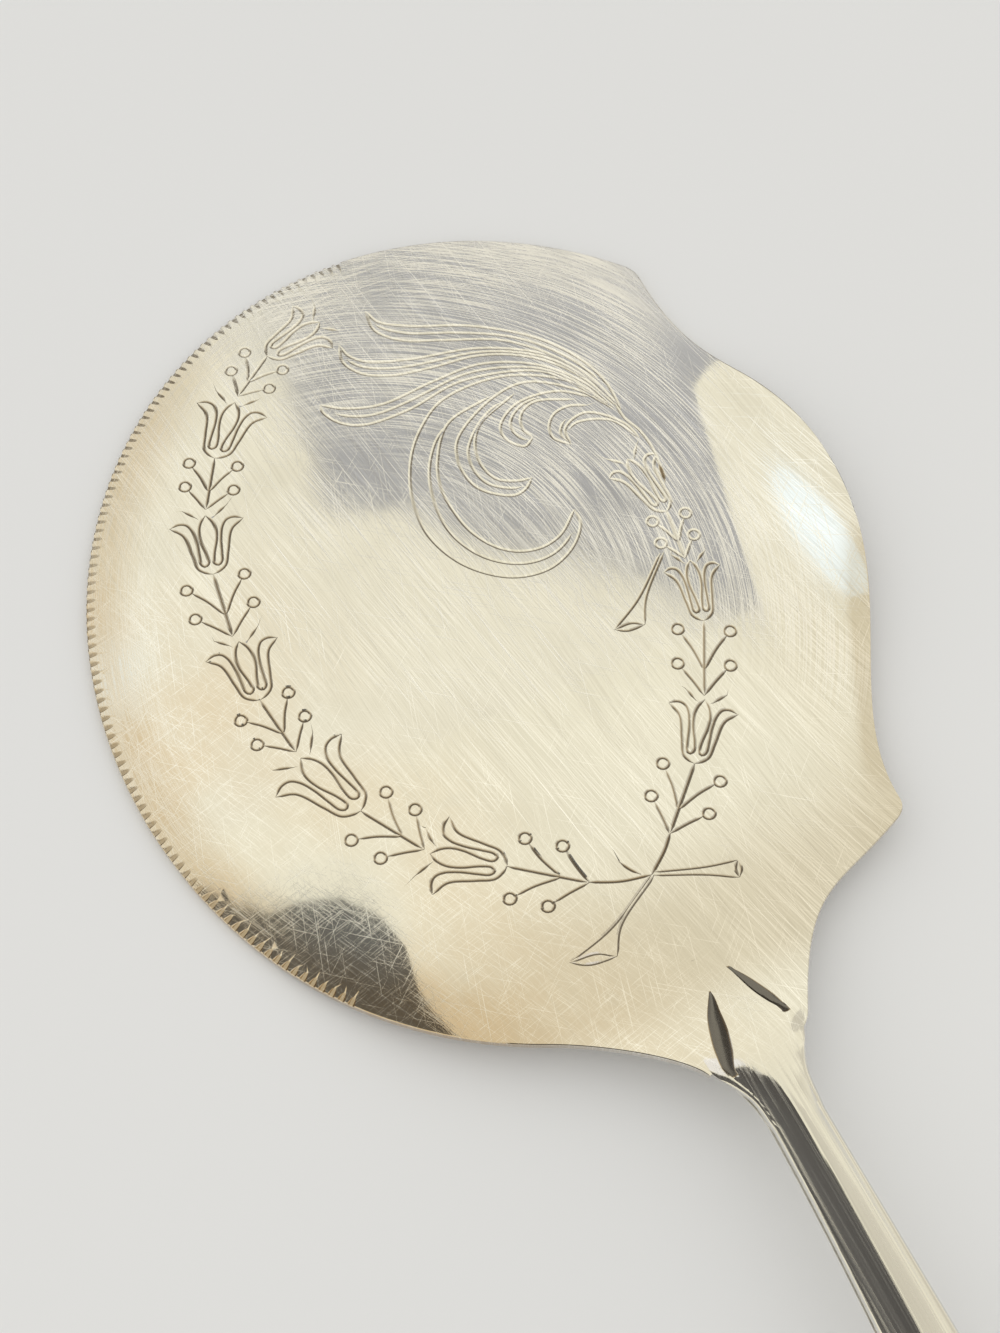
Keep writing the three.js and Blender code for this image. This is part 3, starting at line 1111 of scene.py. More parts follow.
    def sprig(self, one: Flower) -> list[Stroke]:
        """Cuts of the stem and four berries behind a flower.

        Args:
            one: The flower.

        Returns:
            The cuts.
        """
        stem = self.placed([(0, 0), (1, 0)], one.base, one.sprig_end)
        made = [Stroke(curve_through(stem), *self.stem_cut, one.tarnish)]
        turns = np.linspace(0, 2 * math.pi, self.berry_sides + 1)[:-1]
        ring = self.berry_radius * np.stack([np.cos(turns), np.sin(turns)], 1)
        for mirror in (1, -1):
            for berry, bend, foot in self.berries:
                aside = mirror * one.sprig_spread
                middle, knee, low = self.placed([berry, bend, foot], one.base, one.sprig_end, aside)
                towards = (knee - middle) / np.linalg.norm(knee - middle)
                stalk = curve_through([middle + towards * self.berry_radius, knee, low], self.step)
                made.append(Stroke(middle + ring, *self.thin_cut, one.tarnish, True))
                made.append(Stroke(stalk, *self.stalk_cut, one.tarnish))
        return made

    def horn(self, narrow: Pair, left: Pair, right: Pair, tarnish: float) -> list[Stroke]:
        """Cuts of one flared stem end.

        Args:
            narrow: Its narrow end.
            left: One corner of the mouth.
            right: The other corner.
            tarnish: How dark its cuts are.

        Returns:
            The cuts.
        """
        tip, one, two = (np.array(p, float) for p in (narrow, left, right))
        mouth = (one + two) / 2
        away = (mouth - tip) / np.linalg.norm(mouth - tip) * np.linalg.norm(two - one)
        far, near = self.mouth_bows
        bend, wide = self.horn_bend
        lines = [[one, mouth + far * away, two], [one, mouth - near * away, two]]
        aside = (one - two) / np.linalg.norm(one - two)
        for corner, side in ((one, aside), (two, -aside)):
            lines.append([tip + self.horn_tip * side, tip + bend * (mouth - tip) + wide * side, corner])
        return [Stroke(curve_through(line, self.step), *self.thin_cut, tarnish) for line in lines]

    def strokes(self) -> list[Stroke]:
        """Every cut of the engraving.

        Returns:
            The cuts.
        """
        made = [Stroke(curve_through(line)) for line in self.stems]
        for line in (self.stalk, self.under_leaf):
            made.append(Stroke(curve_through(line), *self.thin_cut, self.leaf_tarnish))
        made.append(Stroke(curve_through(self.stalk_end), *self.end_cut, self.end_tarnish))
        for one in self.flowers:
            made += self.bellflower(one) + self.sprig(one)
        for horn in self.horns:
            made += self.horn(*horn)
        for leaf in self.plume:
            made += leaf.strokes()
        return made


# Forms that blade and handle share


@dataclass
class SheetForm:
    """Lift of the blade's sheet over the table."""

    thickness: float = 1.2
    root_x: float = -62.2
    bend_start: float = -22.0
    bend_length: float = 20.0
    root_slope: float = 11.0
    curl_offset: float = 29.2
    curl_turn: float = 10.5
    curl_radius: float = 60.0
    crease_slope: float = 0.16
    crease_run: float = 1.6
    curl_fade: Pair = (15.0, 31.0)
    crease_rows: tuple[float, float, int] = (-0.25, 1.5, 8)
    crease_reach: float = 60.0
    probe: float = 1e-3

    def middle(self, x: Any, y: Any) -> Any:
        """Height of the middle of the sheet.

        Args:
            x: Place along the handle's line.
            y: Place across it.

        Returns:
            Height over the table.
        """
        behind = np.maximum(0, self.bend_start - x)
        curved = np.minimum(behind, self.bend_length)
        root = math.tan(math.radians(self.root_slope)) * (
            curved**2 / (2 * self.bend_length) + behind - curved
        )
        turn = math.radians(self.curl_turn)
        across = np.maximum(0, -math.sin(turn) * x - math.cos(turn) * y - self.curl_offset)
        bent = np.minimum(across, self.crease_run)
        crease = self.crease_slope * (across - bent + bent**2 / (2 * self.crease_run))
        curl = (crease + across**2 / (2 * self.curl_radius)) * (1 - smooth_share(x, *self.curl_fade))
        return self.thickness / 2 + root + curl

    def crease_points(self, spread: float) -> Points:
        """Rows of points along the crease of the curl, which run past both edges.

        Args:
            spread: Distance between the points of a row.

        Returns:
            The points in the plane.
        """
        turn = math.radians(self.curl_turn)
        along = np.array((math.cos(turn), -math.sin(turn)))
        aside = np.array((-math.sin(turn), -math.cos(turn)))
        rows = self.curl_offset + self.crease_run * np.linspace(*self.crease_rows)
        reach = np.arange(-self.crease_reach, self.crease_reach, spread)
        return np.array([row * aside + far * along for row in rows for far in reach])

    def normal(self, x: Any, y: Any) -> Points:
        """Upward unit normals of the sheet.

        Args:
            x: Place along the handle's line.
            y: Place across it.

        Returns:
            One normal for each place.
        """
        h = self.probe
        dx = (self.middle(x + h, y) - self.middle(x - h, y)) / (2 * h)
        dy = (self.middle(x, y + h) - self.middle(x, y - h)) / (2 * h)
        found = np.stack([-dx, -dy, np.ones_like(dx)], -1)
        return found / np.linalg.norm(found, axis=-1)[..., None]


@dataclass
class HandleForm:
    """Middle line and widths of the handle, by the distance s behind the blade's root edge."""

    sheet: SheetForm
    length: float = 134.0
    width: float = 18.0
    height: float = 8.4
    end_length: float = 14.0
    neck_setback: float = 8.0
    neck_width: float = 5.9
    neck_height: float = 5.4
    root_width: float = 10.4
    taper_power: float = 1.5

    def round_end(self, s: float) -> float:
        """Share of the full section that is left in the round end."""
        past = max(0.0, s - (self.length - self.end_length)) / self.end_length
        return math.sqrt(max(0.0, 1 - past * past))

    def taper(self, s: float) -> float:
        """How far the handle has widened."""
        run = self.length - self.end_length - self.neck_setback
        return min(1.0, max(0.0, s - self.neck_setback) / run) ** self.taper_power

    def half_width(self, s: float) -> float:
        """Half width behind the root edge.

        Args:
            s: Distance behind the root edge.

        Returns:
            The half width.
        """
        flare = max(0.0, 1 - s / self.neck_setback) ** 2 * (self.root_width - self.neck_width)
        wide = self.neck_width + flare + self.taper(s) * (self.width - self.neck_width)
        return wide * self.round_end(s) / 2

    def half_height(self, s: float) -> float:
        """Half height behind the root edge."""
        high = self.neck_height + self.taper(s) * (self.height - self.neck_height)
        return high * self.round_end(s) / 2

    def arch(self, s: float) -> Pair:
        """Height of the middle line without its fall to the table, and the share of that fall.

        Args:
            s: Distance behind the root edge.

        Returns:
            The height and the share.
        """
        t = s / self.length
        fall = t * t * (3 - 2 * t)
        rise = t * (1 - t) ** 2 * self.length * math.tan(math.radians(self.sheet.root_slope))
        return (1 - fall) * float(self.sheet.middle(self.sheet.root_x, 0.0)) + rise, fall

    def end_height(self) -> float:
        """Height of the far end, at which the underside just touches the table."""
        rear = np.linspace(self.length / 2, self.length, 200)[1:]
        return max((self.half_height(s) - self.arch(s)[0]) / self.arch(s)[1] for s in rear)

    def spine(self, s: float, end: float) -> float:
        """Height of the middle line.

        Args:
            s: Distance behind the root edge.
            end: Height of the far end.

        Returns:
            Height over the table.
        """
        if s <= 0:
            return float(self.sheet.middle(self.sheet.root_x - s, 0.0))
        start, fall = self.arch(s)
        return start + fall * end


# Blade


@dataclass
class Blade:
    """Oval sheet with a toothed edge, a shaped edge, a curled lobe and the engraving."""

    form: SheetForm
    engraving: Engraving
    oval_half_length: float = 56.2
    oval_half_width: float = 50.1
    root_half_width: float = 5.9
    shoulder_angle: float = 157.0
    shoulder_pull: float = 5.3
    shoulder_flare: Pair = (3.3, 1.7)
    beak_angle: float = -46.6
    beak_dip: Pair = (-18.1, 0.8)
    lobe: Pair = (2.0, -43.9)
    lobe_front_pull: float = 16.3
    lobe_rear_pull: float = 21.2
    spur: Pair = (-44.2, -28.7)
    spur_pull: float = 15.2
    scoop_root: Pair = (15.6, -8.2)
    scoop_spur: Pair = (-5.4, 11.7)
    corner: float = 1.0
    root_corner: float = 2.2
    tooth_pitch: float = 1.25
    tooth_radius: float = 0.47
    tooth_length: float = 1.2
    tooth_depth: float = 0.3
    tooth_steep: float = 1.2
    # Painted shade in the tooth scoops: its strength, and the share of the scoop's depth at which it is
    # full.
    tooth_shade: float = 0.38
    tooth_shade_depth: float = 0.2
    tooth_gap: float = 0.6
    past_edge: float = 0.1
    # Points of a scoop: across it, in shares of its half width, and inward, in shares of its length.
    tooth_marks: Sequence[float] = (-1, -0.75, -0.48, -0.15, 0.15, 0.48, 0.75, 1)
    tooth_rows: Sequence[float] = (0.15, 0.4, 0.65, 0.85, 0.96)
    rim_from: float = 0.95
    # Places along the blade over which the scoops' painted shade fades out towards the tip.
    scoop_shade_fade: Pair = (0.0, 48.0)
    tooth_angles: Pair = (-1.0, 133.0)
    arris: float = 0.13
    # Steps of an arris: inward and down, in shares of its size.
    arris_marks: Sequence[Pair] = ((0.3, 0.3), (0.0, 1.0))
    sharp: float = 14.0
    step: float = 0.8
    grid: float = 1.9
    row_share: float = 0.87
    edge_share: float = 0.4
    plain_within: float = 2e-3

    def oval(self, degrees: Any) -> Points:
        """Points of the oval at angles from the tip."""
        turn = np.radians(degrees)
        return np.stack([self.oval_half_length * np.cos(turn), self.oval_half_width * np.sin(turn)], -1)

    def oval_way_out(self, points: Points) -> Points:
        """Outward unit normals of the oval."""
        way = points / np.array([self.oval_half_length, self.oval_half_width]) ** 2
        return way / np.linalg.norm(way, axis=-1)[..., None]

    def tooth_middles(self) -> Points:
        """Middle of each tooth on the oval, at even distances."""
        arc = self.oval(np.linspace(*self.tooth_angles, 2000))
        return spaced(arc, self.tooth_pitch)

    def toothed_arc(self) -> Points:
        """Points of the toothed edge, close enough to follow each scoop.

        Returns:
            The points in order.
        """
        marks = self.tooth_radius * np.array(self.tooth_marks)
        middles = self.tooth_middles()
        out = self.oval_way_out(middles)
        along = np.stack([-out[:, 1], out[:, 0]], 1)
        return (middles[:, None] + marks[:, None] * along[:, None]).reshape(-1, 2)

    @staticmethod
    def softened(before: Points, after: Points, reach: float) -> Points:
        """Join two lines that meet in a corner, with the corner rounded.

        Args:
            before: Line that ends in the corner.
            after: Line that starts there.
            reach: Distance from the corner at which the rounding begins.

        Returns:
            Both lines as one.
        """
        corner = before[-1]
        first = before[np.linalg.norm(before - corner, axis=1) > reach]
        last = after[np.linalg.norm(after - corner, axis=1) > reach]
        t = np.linspace(0, 1, 8)[1:-1, None]
        bow = (1 - t) ** 2 * first[-1] + 2 * t * (1 - t) * corner + t * t * last[0]
        return np.vstack([first, bow, last])

    def outline(self) -> Points:
        """Edge of the sheet, anticlockwise from the middle of the root.

        Returns:
            The closed line's points.
        """
        x, half, step = self.form.root_x, self.root_half_width, self.step
        beak = self.oval(self.beak_angle)
        scoop = bezier((x, -half), self.scoop_root, self.scoop_spur, self.spur, step)
        rear = bezier(self.spur, (self.spur_pull, 0), (-self.lobe_rear_pull, 0), self.lobe, step)
        front = bezier(self.lobe, (self.lobe_front_pull, 0), self.beak_dip, beak, step)
        first, last = self.tooth_angles
        nose = spaced(self.oval(np.linspace(self.beak_angle, first - self.tooth_gap, 300)), step)
        heel = spaced(self.oval(np.linspace(last + self.tooth_gap, self.shoulder_angle, 100)), step)
        along = heel[-1] - heel[-2]
        along *= self.shoulder_pull / np.linalg.norm(along)
        shoulder = bezier(heel[-1], along, self.shoulder_flare, (x, half), step)
        root = spaced(np.array([(x, 0.0), (x, -half)]), step)
        shaped = self.softened(root, scoop, self.root_corner)
        shaped = self.softened(shaped, rear, self.corner)[:-1]
        shaped = self.softened(np.vstack([shaped, front]), nose, self.corner)
        return np.vstack([shaped, self.toothed_arc(), heel[:-1], shoulder])

    def tooth_reach(self, inward: Any) -> Any:
        """Half width of a scoop at distances in from the edge."""
        return self.tooth_radius * np.sqrt(np.clip(1 - inward / self.tooth_length, 0, 1))

    def tooth_cut(self, points: Points) -> Points:
        """Depth of the filed scoops at points of the plane.

        Args:
            points: The points.

        Returns:
            Depth at each, 0 outside the scoops.
        """
        depth = np.zeros(len(points))
        scale = np.array([self.oval_half_length, self.oval_half_width])
        rim = np.nonzero(np.linalg.norm(points / scale, axis=1) > self.rim_from)[0]
        middles = self.tooth_middles()
        out = self.oval_way_out(middles)
        gap = points[rim][:, None] - middles
        inward = -(gap * out).sum(2)
        aside = np.abs(gap[..., 1] * out[:, 0] - gap[..., 0] * out[:, 1])
        level = self.tooth_depth * (1 - inward / self.tooth_length)
        walls = (self.tooth_reach(inward) - aside) * self.tooth_steep
        scoop = np.where(inward > -self.past_edge, np.maximum(0, np.minimum(level, walls)), 0)
        depth[rim] = np.max(scoop, 1)
        return depth

    def tooth_rims(self, plane: Plane) -> None:
        """Put the rim of each scoop, and points inside it, into the plane.

        Args:
            plane: The top face.
        """
        inward = self.tooth_length * np.array(self.tooth_rows)
        level = self.tooth_depth * (1 - inward / self.tooth_length)
        reach = self.tooth_reach(inward)
        rings = []
        for wide in (reach, reach - level / self.tooth_steep):
            half = np.stack([inward, wide], 1)
            rings.append(np.vstack([half, half[::-1] * (1, -1)]))
        for middle in self.tooth_middles():
            out = self.oval_way_out(middle)
            along = np.array([-out[1], out[0]])
            for ring in rings:
                plane.add(middle - ring[:, :1] * out + ring[:, 1:] * along)

    def field_points(self, ring: Points) -> Points:
        """Points spread over the sheet, closer together where it is bent.

        Args:
            ring: Outline that they keep inside of.

        Returns:
            The points.
        """
        xs = np.arange(self.form.root_x, self.oval_half_length, self.grid)
        ys = np.arange(-self.oval_half_width, self.oval_half_width, self.grid * self.row_share)
        found = np.array([(x + self.grid / 2 * (j % 2), y) for j, y in enumerate(ys) for x in xs])
        found = np.vstack([found, self.form.crease_points(self.grid / 2)])
        after = np.roll(ring, -1, 0)
        keep = np.zeros(len(found), bool)
        for (ax, ay), (bx, by) in zip(ring, after):
            if ay != by:
                spans = (found[:, 1] < ay) != (found[:, 1] < by)
                keep ^= spans & (found[:, 0] < ax + (found[:, 1] - ay) * (bx - ax) / (by - ay))
        found = found[keep]
        near = np.min(np.linalg.norm(found[:, None] - ring, axis=2), 1)
        return found[near > self.grid * self.edge_share]

    def build(self, finish: Finish) -> bpy.types.Object:
        """Make the blade.

        Args:
            finish: Its material.

        Returns:
            The blade's object.
        """
        ring = self.outline()
        out = outward(ring)
        half, arris = self.form.thickness / 2, self.arris
        inset = ring - arris * out
        strokes = self.engraving.strokes()
        spread = self.field_points(ring)
        piece = Piece("blade_sheet")
        rims: dict[Side, list[int]] = {}
        for side in Side:
            plane = Plane()
            plane.add(inset, closed=True)
            plane.add(spread, joined=False)
            if side is Side.UPPER:
                self.tooth_rims(plane)
                for stroke in strokes:
                    for line in (stroke.line, *stroke.edges()):
                        plane.add(line, closed=stroke.closed)
            flat, faces, moved = plane.filled()
            depth, dark = np.zeros(len(flat)), np.zeros(len(flat))
            if side is Side.UPPER:
                depth = self.tooth_cut(flat)
                # Painted shade in the tooth scoops, strongest towards the handle and gone near the tip;
                # the engraving's grooves add their tarnish below.
                scoop_shade = self.tooth_shade * (1 - smooth_share(flat[:, 0], *self.scoop_shade_fade))
                dark = scoop_shade * np.clip(depth / (self.tooth_shade_depth * self.tooth_depth), 0, 1)
                for stroke in strokes:
                    cut = stroke.cut(flat)
                    depth = np.maximum(depth, cut)
                    dark = np.maximum(dark, stroke.tarnish * cut / stroke.depth)
            height = self.form.middle(flat[:, 0], flat[:, 1]) + side.value * half - depth
            first = piece.add(np.column_stack([flat, height]), dark)
            for face in faces:
                turned = face if side is Side.UPPER else face[::-1]
                piece.faces.append(tuple(first + i for i in turned))
            rims[side] = [first + moved[i] for i in range(len(ring))]
        self.wall(piece, ring, out, rims)
        made = piece.build(finish, Slot.BLADE, ["blade"], self.sharp)
        self.true_normals(made.data)
        return made

    def wall(self, piece: Piece, ring: Points, out: Points, rims: dict[Side, list[int]]) -> None:
        """Close the edge between both faces, with its two worn arrises.

        Args:
            piece: The blade.
            ring: Outline.
            out: Outward normals of the outline.
            rims: Outline vertices of both faces.
        """
        half, arris = self.form.thickness / 2, self.arris
        bands = [rims[Side.UPPER]]
        for side in Side:
            marks = self.arris_marks if side is Side.UPPER else self.arris_marks[::-1]
            for inward, down in marks:
                flat = ring - inward * arris * out
                lift = side.value * (half - down * arris)
                tooth = self.tooth_cut(ring - arris * out) if side is Side.UPPER else 0.0
                height = self.form.middle(flat[:, 0], flat[:, 1]) + lift - tooth
                first = piece.add(np.column_stack([flat, height]))
                bands.append(list(range(first, first + len(ring))))
        bands.append(rims[Side.LOWER])
        for high, low in zip(bands, bands[1:]):
            piece.band(low, high)

    def true_normals(self, mesh: bpy.types.Mesh) -> None:
        """Give the plain parts of both faces the exact normals of the bent sheet.

        Args:
            mesh: The blade's mesh.
        """
        loops = len(mesh.loops)
        normals = np.empty(loops * 3, np.float32)
        mesh.corner_normals.foreach_get("vector", normals)
        normals = normals.reshape(-1, 3).astype(float)
        corner = np.empty(loops, np.int32)
        mesh.loops.foreach_get("vertex_index", corner)
        places = np.empty(len(mesh.vertices) * 3, np.float32)
        mesh.vertices.foreach_get("co", places)
        places = places.reshape(-1, 3).astype(float) / MM
        true = self.form.normal(places[:, 0], places[:, 1])
        lift = places[:, 2] - self.form.middle(places[:, 0], places[:, 1])
        half = self.form.thickness / 2
        for side in Side:
            on_face = np.abs(lift - side.value * half) < self.plain_within
            for face in mesh.polygons:
                span = slice(face.loop_start, face.loop_start + face.loop_total)
                if on_face[corner[span]].all():
                    normals[span] = side.value * true[corner[span]]
        mesh.normals_split_custom_set(normals.tolist())


# Handle


@dataclass
class Flute:
    """Lens-shaped hollow beside the crown of the drop, by the distance behind the root edge."""

    keys: Sequence[float]
    axis: Sequence[float]
    rim: Sequence[float]
    start: float
    stop: float
    half_width: float
    depth: float
    widest: float
    fullness: float = 0.6

    def share(self, s: float) -> float:
        """How much of its full width the hollow has.

        Args:
            s: Distance behind the root edge.

        Returns:
            The share, 0 outside the hollow.
        """
        along = (s - self.start) / (self.stop - self.start)
        if not 0 < along < 1:
            return 0.0
        power = math.log(0.5) / math.log(self.widest)
        return math.sin(math.pi * along**power) ** self.fullness


@dataclass
class Handle:
    """Hollow handle of two halves, which clasp the blade with a drop above and a heel below."""

    form: HandleForm
    drop_length: float = 12.5
    heel_length: float = 9.5
    wall: float = 0.8
    seam: float = 0.2
    sunk: float = 0.015
    facet_slope: float = 0.42
    facet_bow: float = 0.34
    facet_edge: float = 0.78
    facet_round: float = 2.2
    ridge: float = 0.05
    facet_until: Pair = (40.0, 85.0)
    bead: float = 0.13
    flush_bead: float = 0.006
    sharp: float = 14.0
    bead_sharp: float = 60.0
    # Counts of sections along the handle, and of points across one.
    front_sections: int = 64
    neck_sections: int = 44
    back_sections: int = 56
    end_sections: int = 16
    foot_sections: int = 40
    crown_columns: int = 13
    flute_columns: int = 10
    flank_columns: int = 12
    lower_columns: int = 57
    bead_columns: int = 10
    bead_ends: int = 6
    bead_thin: float = 0.25
    bare_columns: float = 0.1
    # Places along the handle.
    before_root: float = 0.12
    neck_end: float = 10.0
    end_flat: float = 0.002
    seam_start: float = 0.4
    foot_ends: Pair = (0.6, 0.2)
    merge: Pair = (-1.2, 2.0)
    # Drop: power of its swell, where its rim sinks in, metal left under a hollow, edges of a hollow's
    # painted shade.
    feather: float = 1.5
    sink_from: float = 0.8
    cover: float = 0.02
    hollow_shade_edges: Pair = (0.99, 0.05)
    # Inner skin: its share of the outer one over the sheet, and its least share in the hollow part.
    foot_share: float = 0.98
    least_share: float = 0.2
    # Heel: half width of its tip, and powers of its outline and section.
    heel_tip: float = 0.5
    heel_powers: Pair = (0.8, 1.6)
    right: Flute = field(default_factory=lambda: Flute(
        (-12.5, -9.8, -8.25, -6.45, -4.7, -3.0, 0.0, 3.0, 8.0),
        (0.50, 1.90, 2.60, 3.32, 4.07, 4.75, 4.30, 2.70, 1.75),
        (1.20, 3.60, 4.80, 5.80, 6.50, 6.70, 5.30, 3.79, 2.95),
        -10.2, -2.8, 0.68, 0.4, 0.6,
    ))
    left: Flute = field(default_factory=lambda: Flute(
        (-12.5, -9.6, -7.7, -5.85, -3.8, -1.6, 0.5, 1.5, 4.0, 8.0),
        (0.50, 1.05, 1.57, 2.30, 2.85, 3.40, 3.80, 3.60, 2.60, 1.60),
        (1.20, 3.40, 4.50, 5.30, 5.90, 6.00, 5.30, 4.70, 3.51, 2.95),
        -8.3, 1.3, 1.05, 0.5, 0.55,
    ))

    def __post_init__(self) -> None:
        """Find the height of the far end once."""
        self.end = self.form.end_height()

    def at(self, s: float, y: Any, z: Any) -> Points:
        """Points of one section, from places across it and heights over the middle line.

        Args:
            s: Distance behind the root edge.
            y: Places across the section.
            z: Heights over the middle line.

        Returns:
            The points.
        """
        y, z = np.broadcast_arrays(np.asarray(y, float), np.asarray(z, float))
        x = np.full(y.shape, self.form.sheet.root_x - s)
        return np.stack([x, y, self.form.spine(s, self.end) + z], -1)

    def stations(self, front: float) -> list[float]:
        """Places of the sections, from the tip of drop or heel to the far end.

        Args:
            front: Length of drop or heel.

        Returns:
            Distances behind the root edge.
        """
        length, end = self.form.length, self.form.end_length
        turns = np.radians(np.linspace(0, 90, self.end_sections))
        return [
            *np.linspace(-front, -self.before_root, self.front_sections),
            *np.linspace(0, self.neck_end, self.neck_sections),
            *np.linspace(self.neck_end, length - end, self.back_sections)[1:],
            *(length - end * (1 - np.sin(turns)))[1:-1],
            length - self.end_flat,
        ]

    def line(self, keys: Sequence[float], values: Sequence[float], s: float) -> float:
        """Place of one line of the neck across it, which follows the handle's width behind the neck.

        Args:
            keys: Distances behind the root edge.
            values: Places across at those distances.
            s: Distance behind the root edge.

        Returns:
            The place across.
        """
        if s < keys[-1]:
            return float(flowing(keys, values, s))
        return values[-1] / self.form.half_width(keys[-1]) * self.form.half_width(s)

    def facets(self, shares: Points) -> Points:
        """Heights of the faceted section at shares of its half width, with a rounded ridge.

        Args:
            shares: Shares of the half width.

        Returns:
            Shares of the full height.
        """
        edge = self.facet_edge
        shares = np.sqrt(shares**2 + self.ridge**2) - self.ridge
        upper = 1 - self.facet_slope * shares - self.facet_bow * shares**2
        foot = 1 - self.facet_slope * edge - self.facet_bow * edge**2
        rest = np.clip((1 - shares) / (1 - edge), 0, 1)
        return np.where(shares <= edge, upper, foot * np.sqrt(1 - (1 - rest) ** self.facet_round))

    def crown(self, s: float, front: float) -> float:
        """Height of the neck over the sheet, from the tip of drop or heel to where the neck is full."""
        full = (self.form.neck_height - self.form.sheet.thickness) / 2
        return full * float(smooth_share(s, -front, self.form.neck_setback))

    def top_side(self, s: float, flute: Flute) -> tuple[Points, Points, Points]:
        """One side of the upper half's section, from its ridge to its rim.

        Args:
            s: Distance behind the root edge.
            flute: The hollow on that side.

        Returns:
            Places across, heights over the middle line, and where each point takes the flute's painted
            shade with tarnish.
        """
        axis, rim = self.line(flute.keys, flute.axis, s), self.line(flute.keys, flute.rim, s)
        share = flute.share(s)
        reach = max(flute.half_width * share, self.bare_columns * axis)
        half = self.form.sheet.thickness / 2
        crown = self.crown(s, self.drop_length)
        high = half + crown if s < self.form.neck_setback else self.form.half_height(s)
        inner, outer = axis - reach, axis + reach
        ridge = np.linspace(0, inner, self.crown_columns)
        dip = np.linspace(inner, outer, self.flute_columns)[1:]
        bow = np.sin(np.linspace(0, math.pi / 2, self.flank_columns)[1:])
        y = np.concatenate([ridge, dip, outer + (rim - outer) * bow])
        v = y / max(rim, 1e-6)
        feather = np.maximum(0, 1 - v * v) ** self.feather
        swell = half + crown * feather - self.sunk * smooth_share(v, self.sink_from, 1.0)
        at_rim = self.seam / 2 if s >= 0 else half - self.sunk
        oval = np.sqrt(np.maximum(0, 1 - v * v))
        faceted = self.facets(v)
        section = faceted + (oval - faceted) * smooth_share(s, *self.facet_until)
        neck = np.maximum(high * section, at_rim)
        z = swell + (neck - swell) * smooth_share(s, *self.merge)
        u = (y - axis) / reach
        hollow = flute.depth * share * np.maximum(0, 1 - u * u)
        if s < 0:
            hollow = np.minimum(hollow, np.maximum(0, z - half - self.cover))
        # Painted shade with tarnish over the middle of each flute, carried by the mesh's recess mark.
        edge, least = self.hollow_shade_edges
        deep = np.where(np.abs(u) < edge, share > least, False).astype(float)
        return np.append(y, rim), np.append(z - hollow, at_rim), np.append(deep, 0.0)

    def upper_ring(self, s: float) -> tuple[Points, Points]:
        """Outer and inner skin of the upper half at one section.

        Args:
            s: Distance behind the root edge.

        Returns:
            The closed ring, and how deep in a flute its points lie.
        """
        right_y, right_z, right_deep = self.top_side(s, self.right)
        left_y, left_z, left_deep = self.top_side(s, self.left)
        y = np.concatenate([-right_y[::-1], left_y[1:]])
        z = np.concatenate([right_z[::-1], left_z[1:]])
        deep = np.concatenate([right_deep[::-1], left_deep[1:]])
        return self.closed(s, y, z, deep, Side.UPPER)

    def lower_ring(self, s: float) -> tuple[Points, Points]:
        """Outer and inner skin of the lower half at one section.

        Args:
            s: Distance behind the root edge.

        Returns:
            The closed ring, and zeros.
        """
        turns = np.linspace(0, math.pi, self.lower_columns)
        half, crown = self.form.sheet.thickness / 2, self.crown(s, self.heel_length)
        if s >= 0:
            y = self.form.half_width(s) * np.cos(turns)
            high = half + crown if s < self.form.neck_setback else self.form.half_height(s)
            z = -self.seam / 2 - (high - self.seam / 2) * np.sin(turns)
        else:
            outline, section = self.heel_powers
            share = (1 + s / self.heel_length) ** outline
            y = (self.heel_tip + (self.form.root_width / 2 - self.heel_tip) * share) * np.cos(turns)
            z = -half + self.sunk - (crown + self.sunk) * np.sin(turns) ** section
        return self.closed(s, y, z, np.zeros(len(y)), Side.LOWER)

    def closed(self, s: float, y: Points, z: Points, deep: Points, side: Side) -> tuple[Points, Points]:
        """Add the inner skin to one section of a half.

        Args:
            s: Distance behind the root edge.
            y: Places across the outer skin.
            z: Heights of the outer skin.
            deep: How deep in a flute the points lie.
            side: Which half it is.

        Returns:
            The closed ring, and how deep in a flute its points lie.
        """
        outer = self.at(s, y, z)
        if s < 0:
            flat = self.form.sheet.thickness / 2 - 2 * self.sunk
            low = np.minimum(flat, side.value * z - self.sunk)
            inner = self.at(s, y * self.foot_share, side.value * low)
        else:
            rim = side.value * self.seam / 2
            wide = max(np.abs(y).max(), 1e-6)
            keep = max(self.least_share, 1 - self.wall / wide)
            inner = self.at(s, y * keep, rim + (z - rim) * keep)
        ring = np.vstack([outer, inner[::-1]])
        return ring[::-1] if side is Side.UPPER else ring, self.turned(deep, side)

    @staticmethod
    def turned(deep: Points, side: Side) -> Points:
        """Flute depths in the order of a ring's points."""
        both = np.concatenate([deep, np.zeros(len(deep))])
        return both[::-1] if side is Side.UPPER else both

    def half(self, side: Side, finish: Finish) -> bpy.types.Object:
        """Make one half.

        Args:
            side: Which half.
            finish: Its material.

        Returns:
            The half's object.
        """
        upper = side is Side.UPPER
        piece = Piece("handle_upper_half" if upper else "handle_lower_half")
        make = self.upper_ring if upper else self.lower_ring
        rings = [make(s) for s in self.stations(self.drop_length if upper else self.heel_length)]
        piece.loft([ring for ring, _ in rings], [deep for _, deep in rings])
        node = "upper_shell" if upper else "lower_shell"
        return piece.build(finish, Slot.HANDLE, [node], self.sharp)

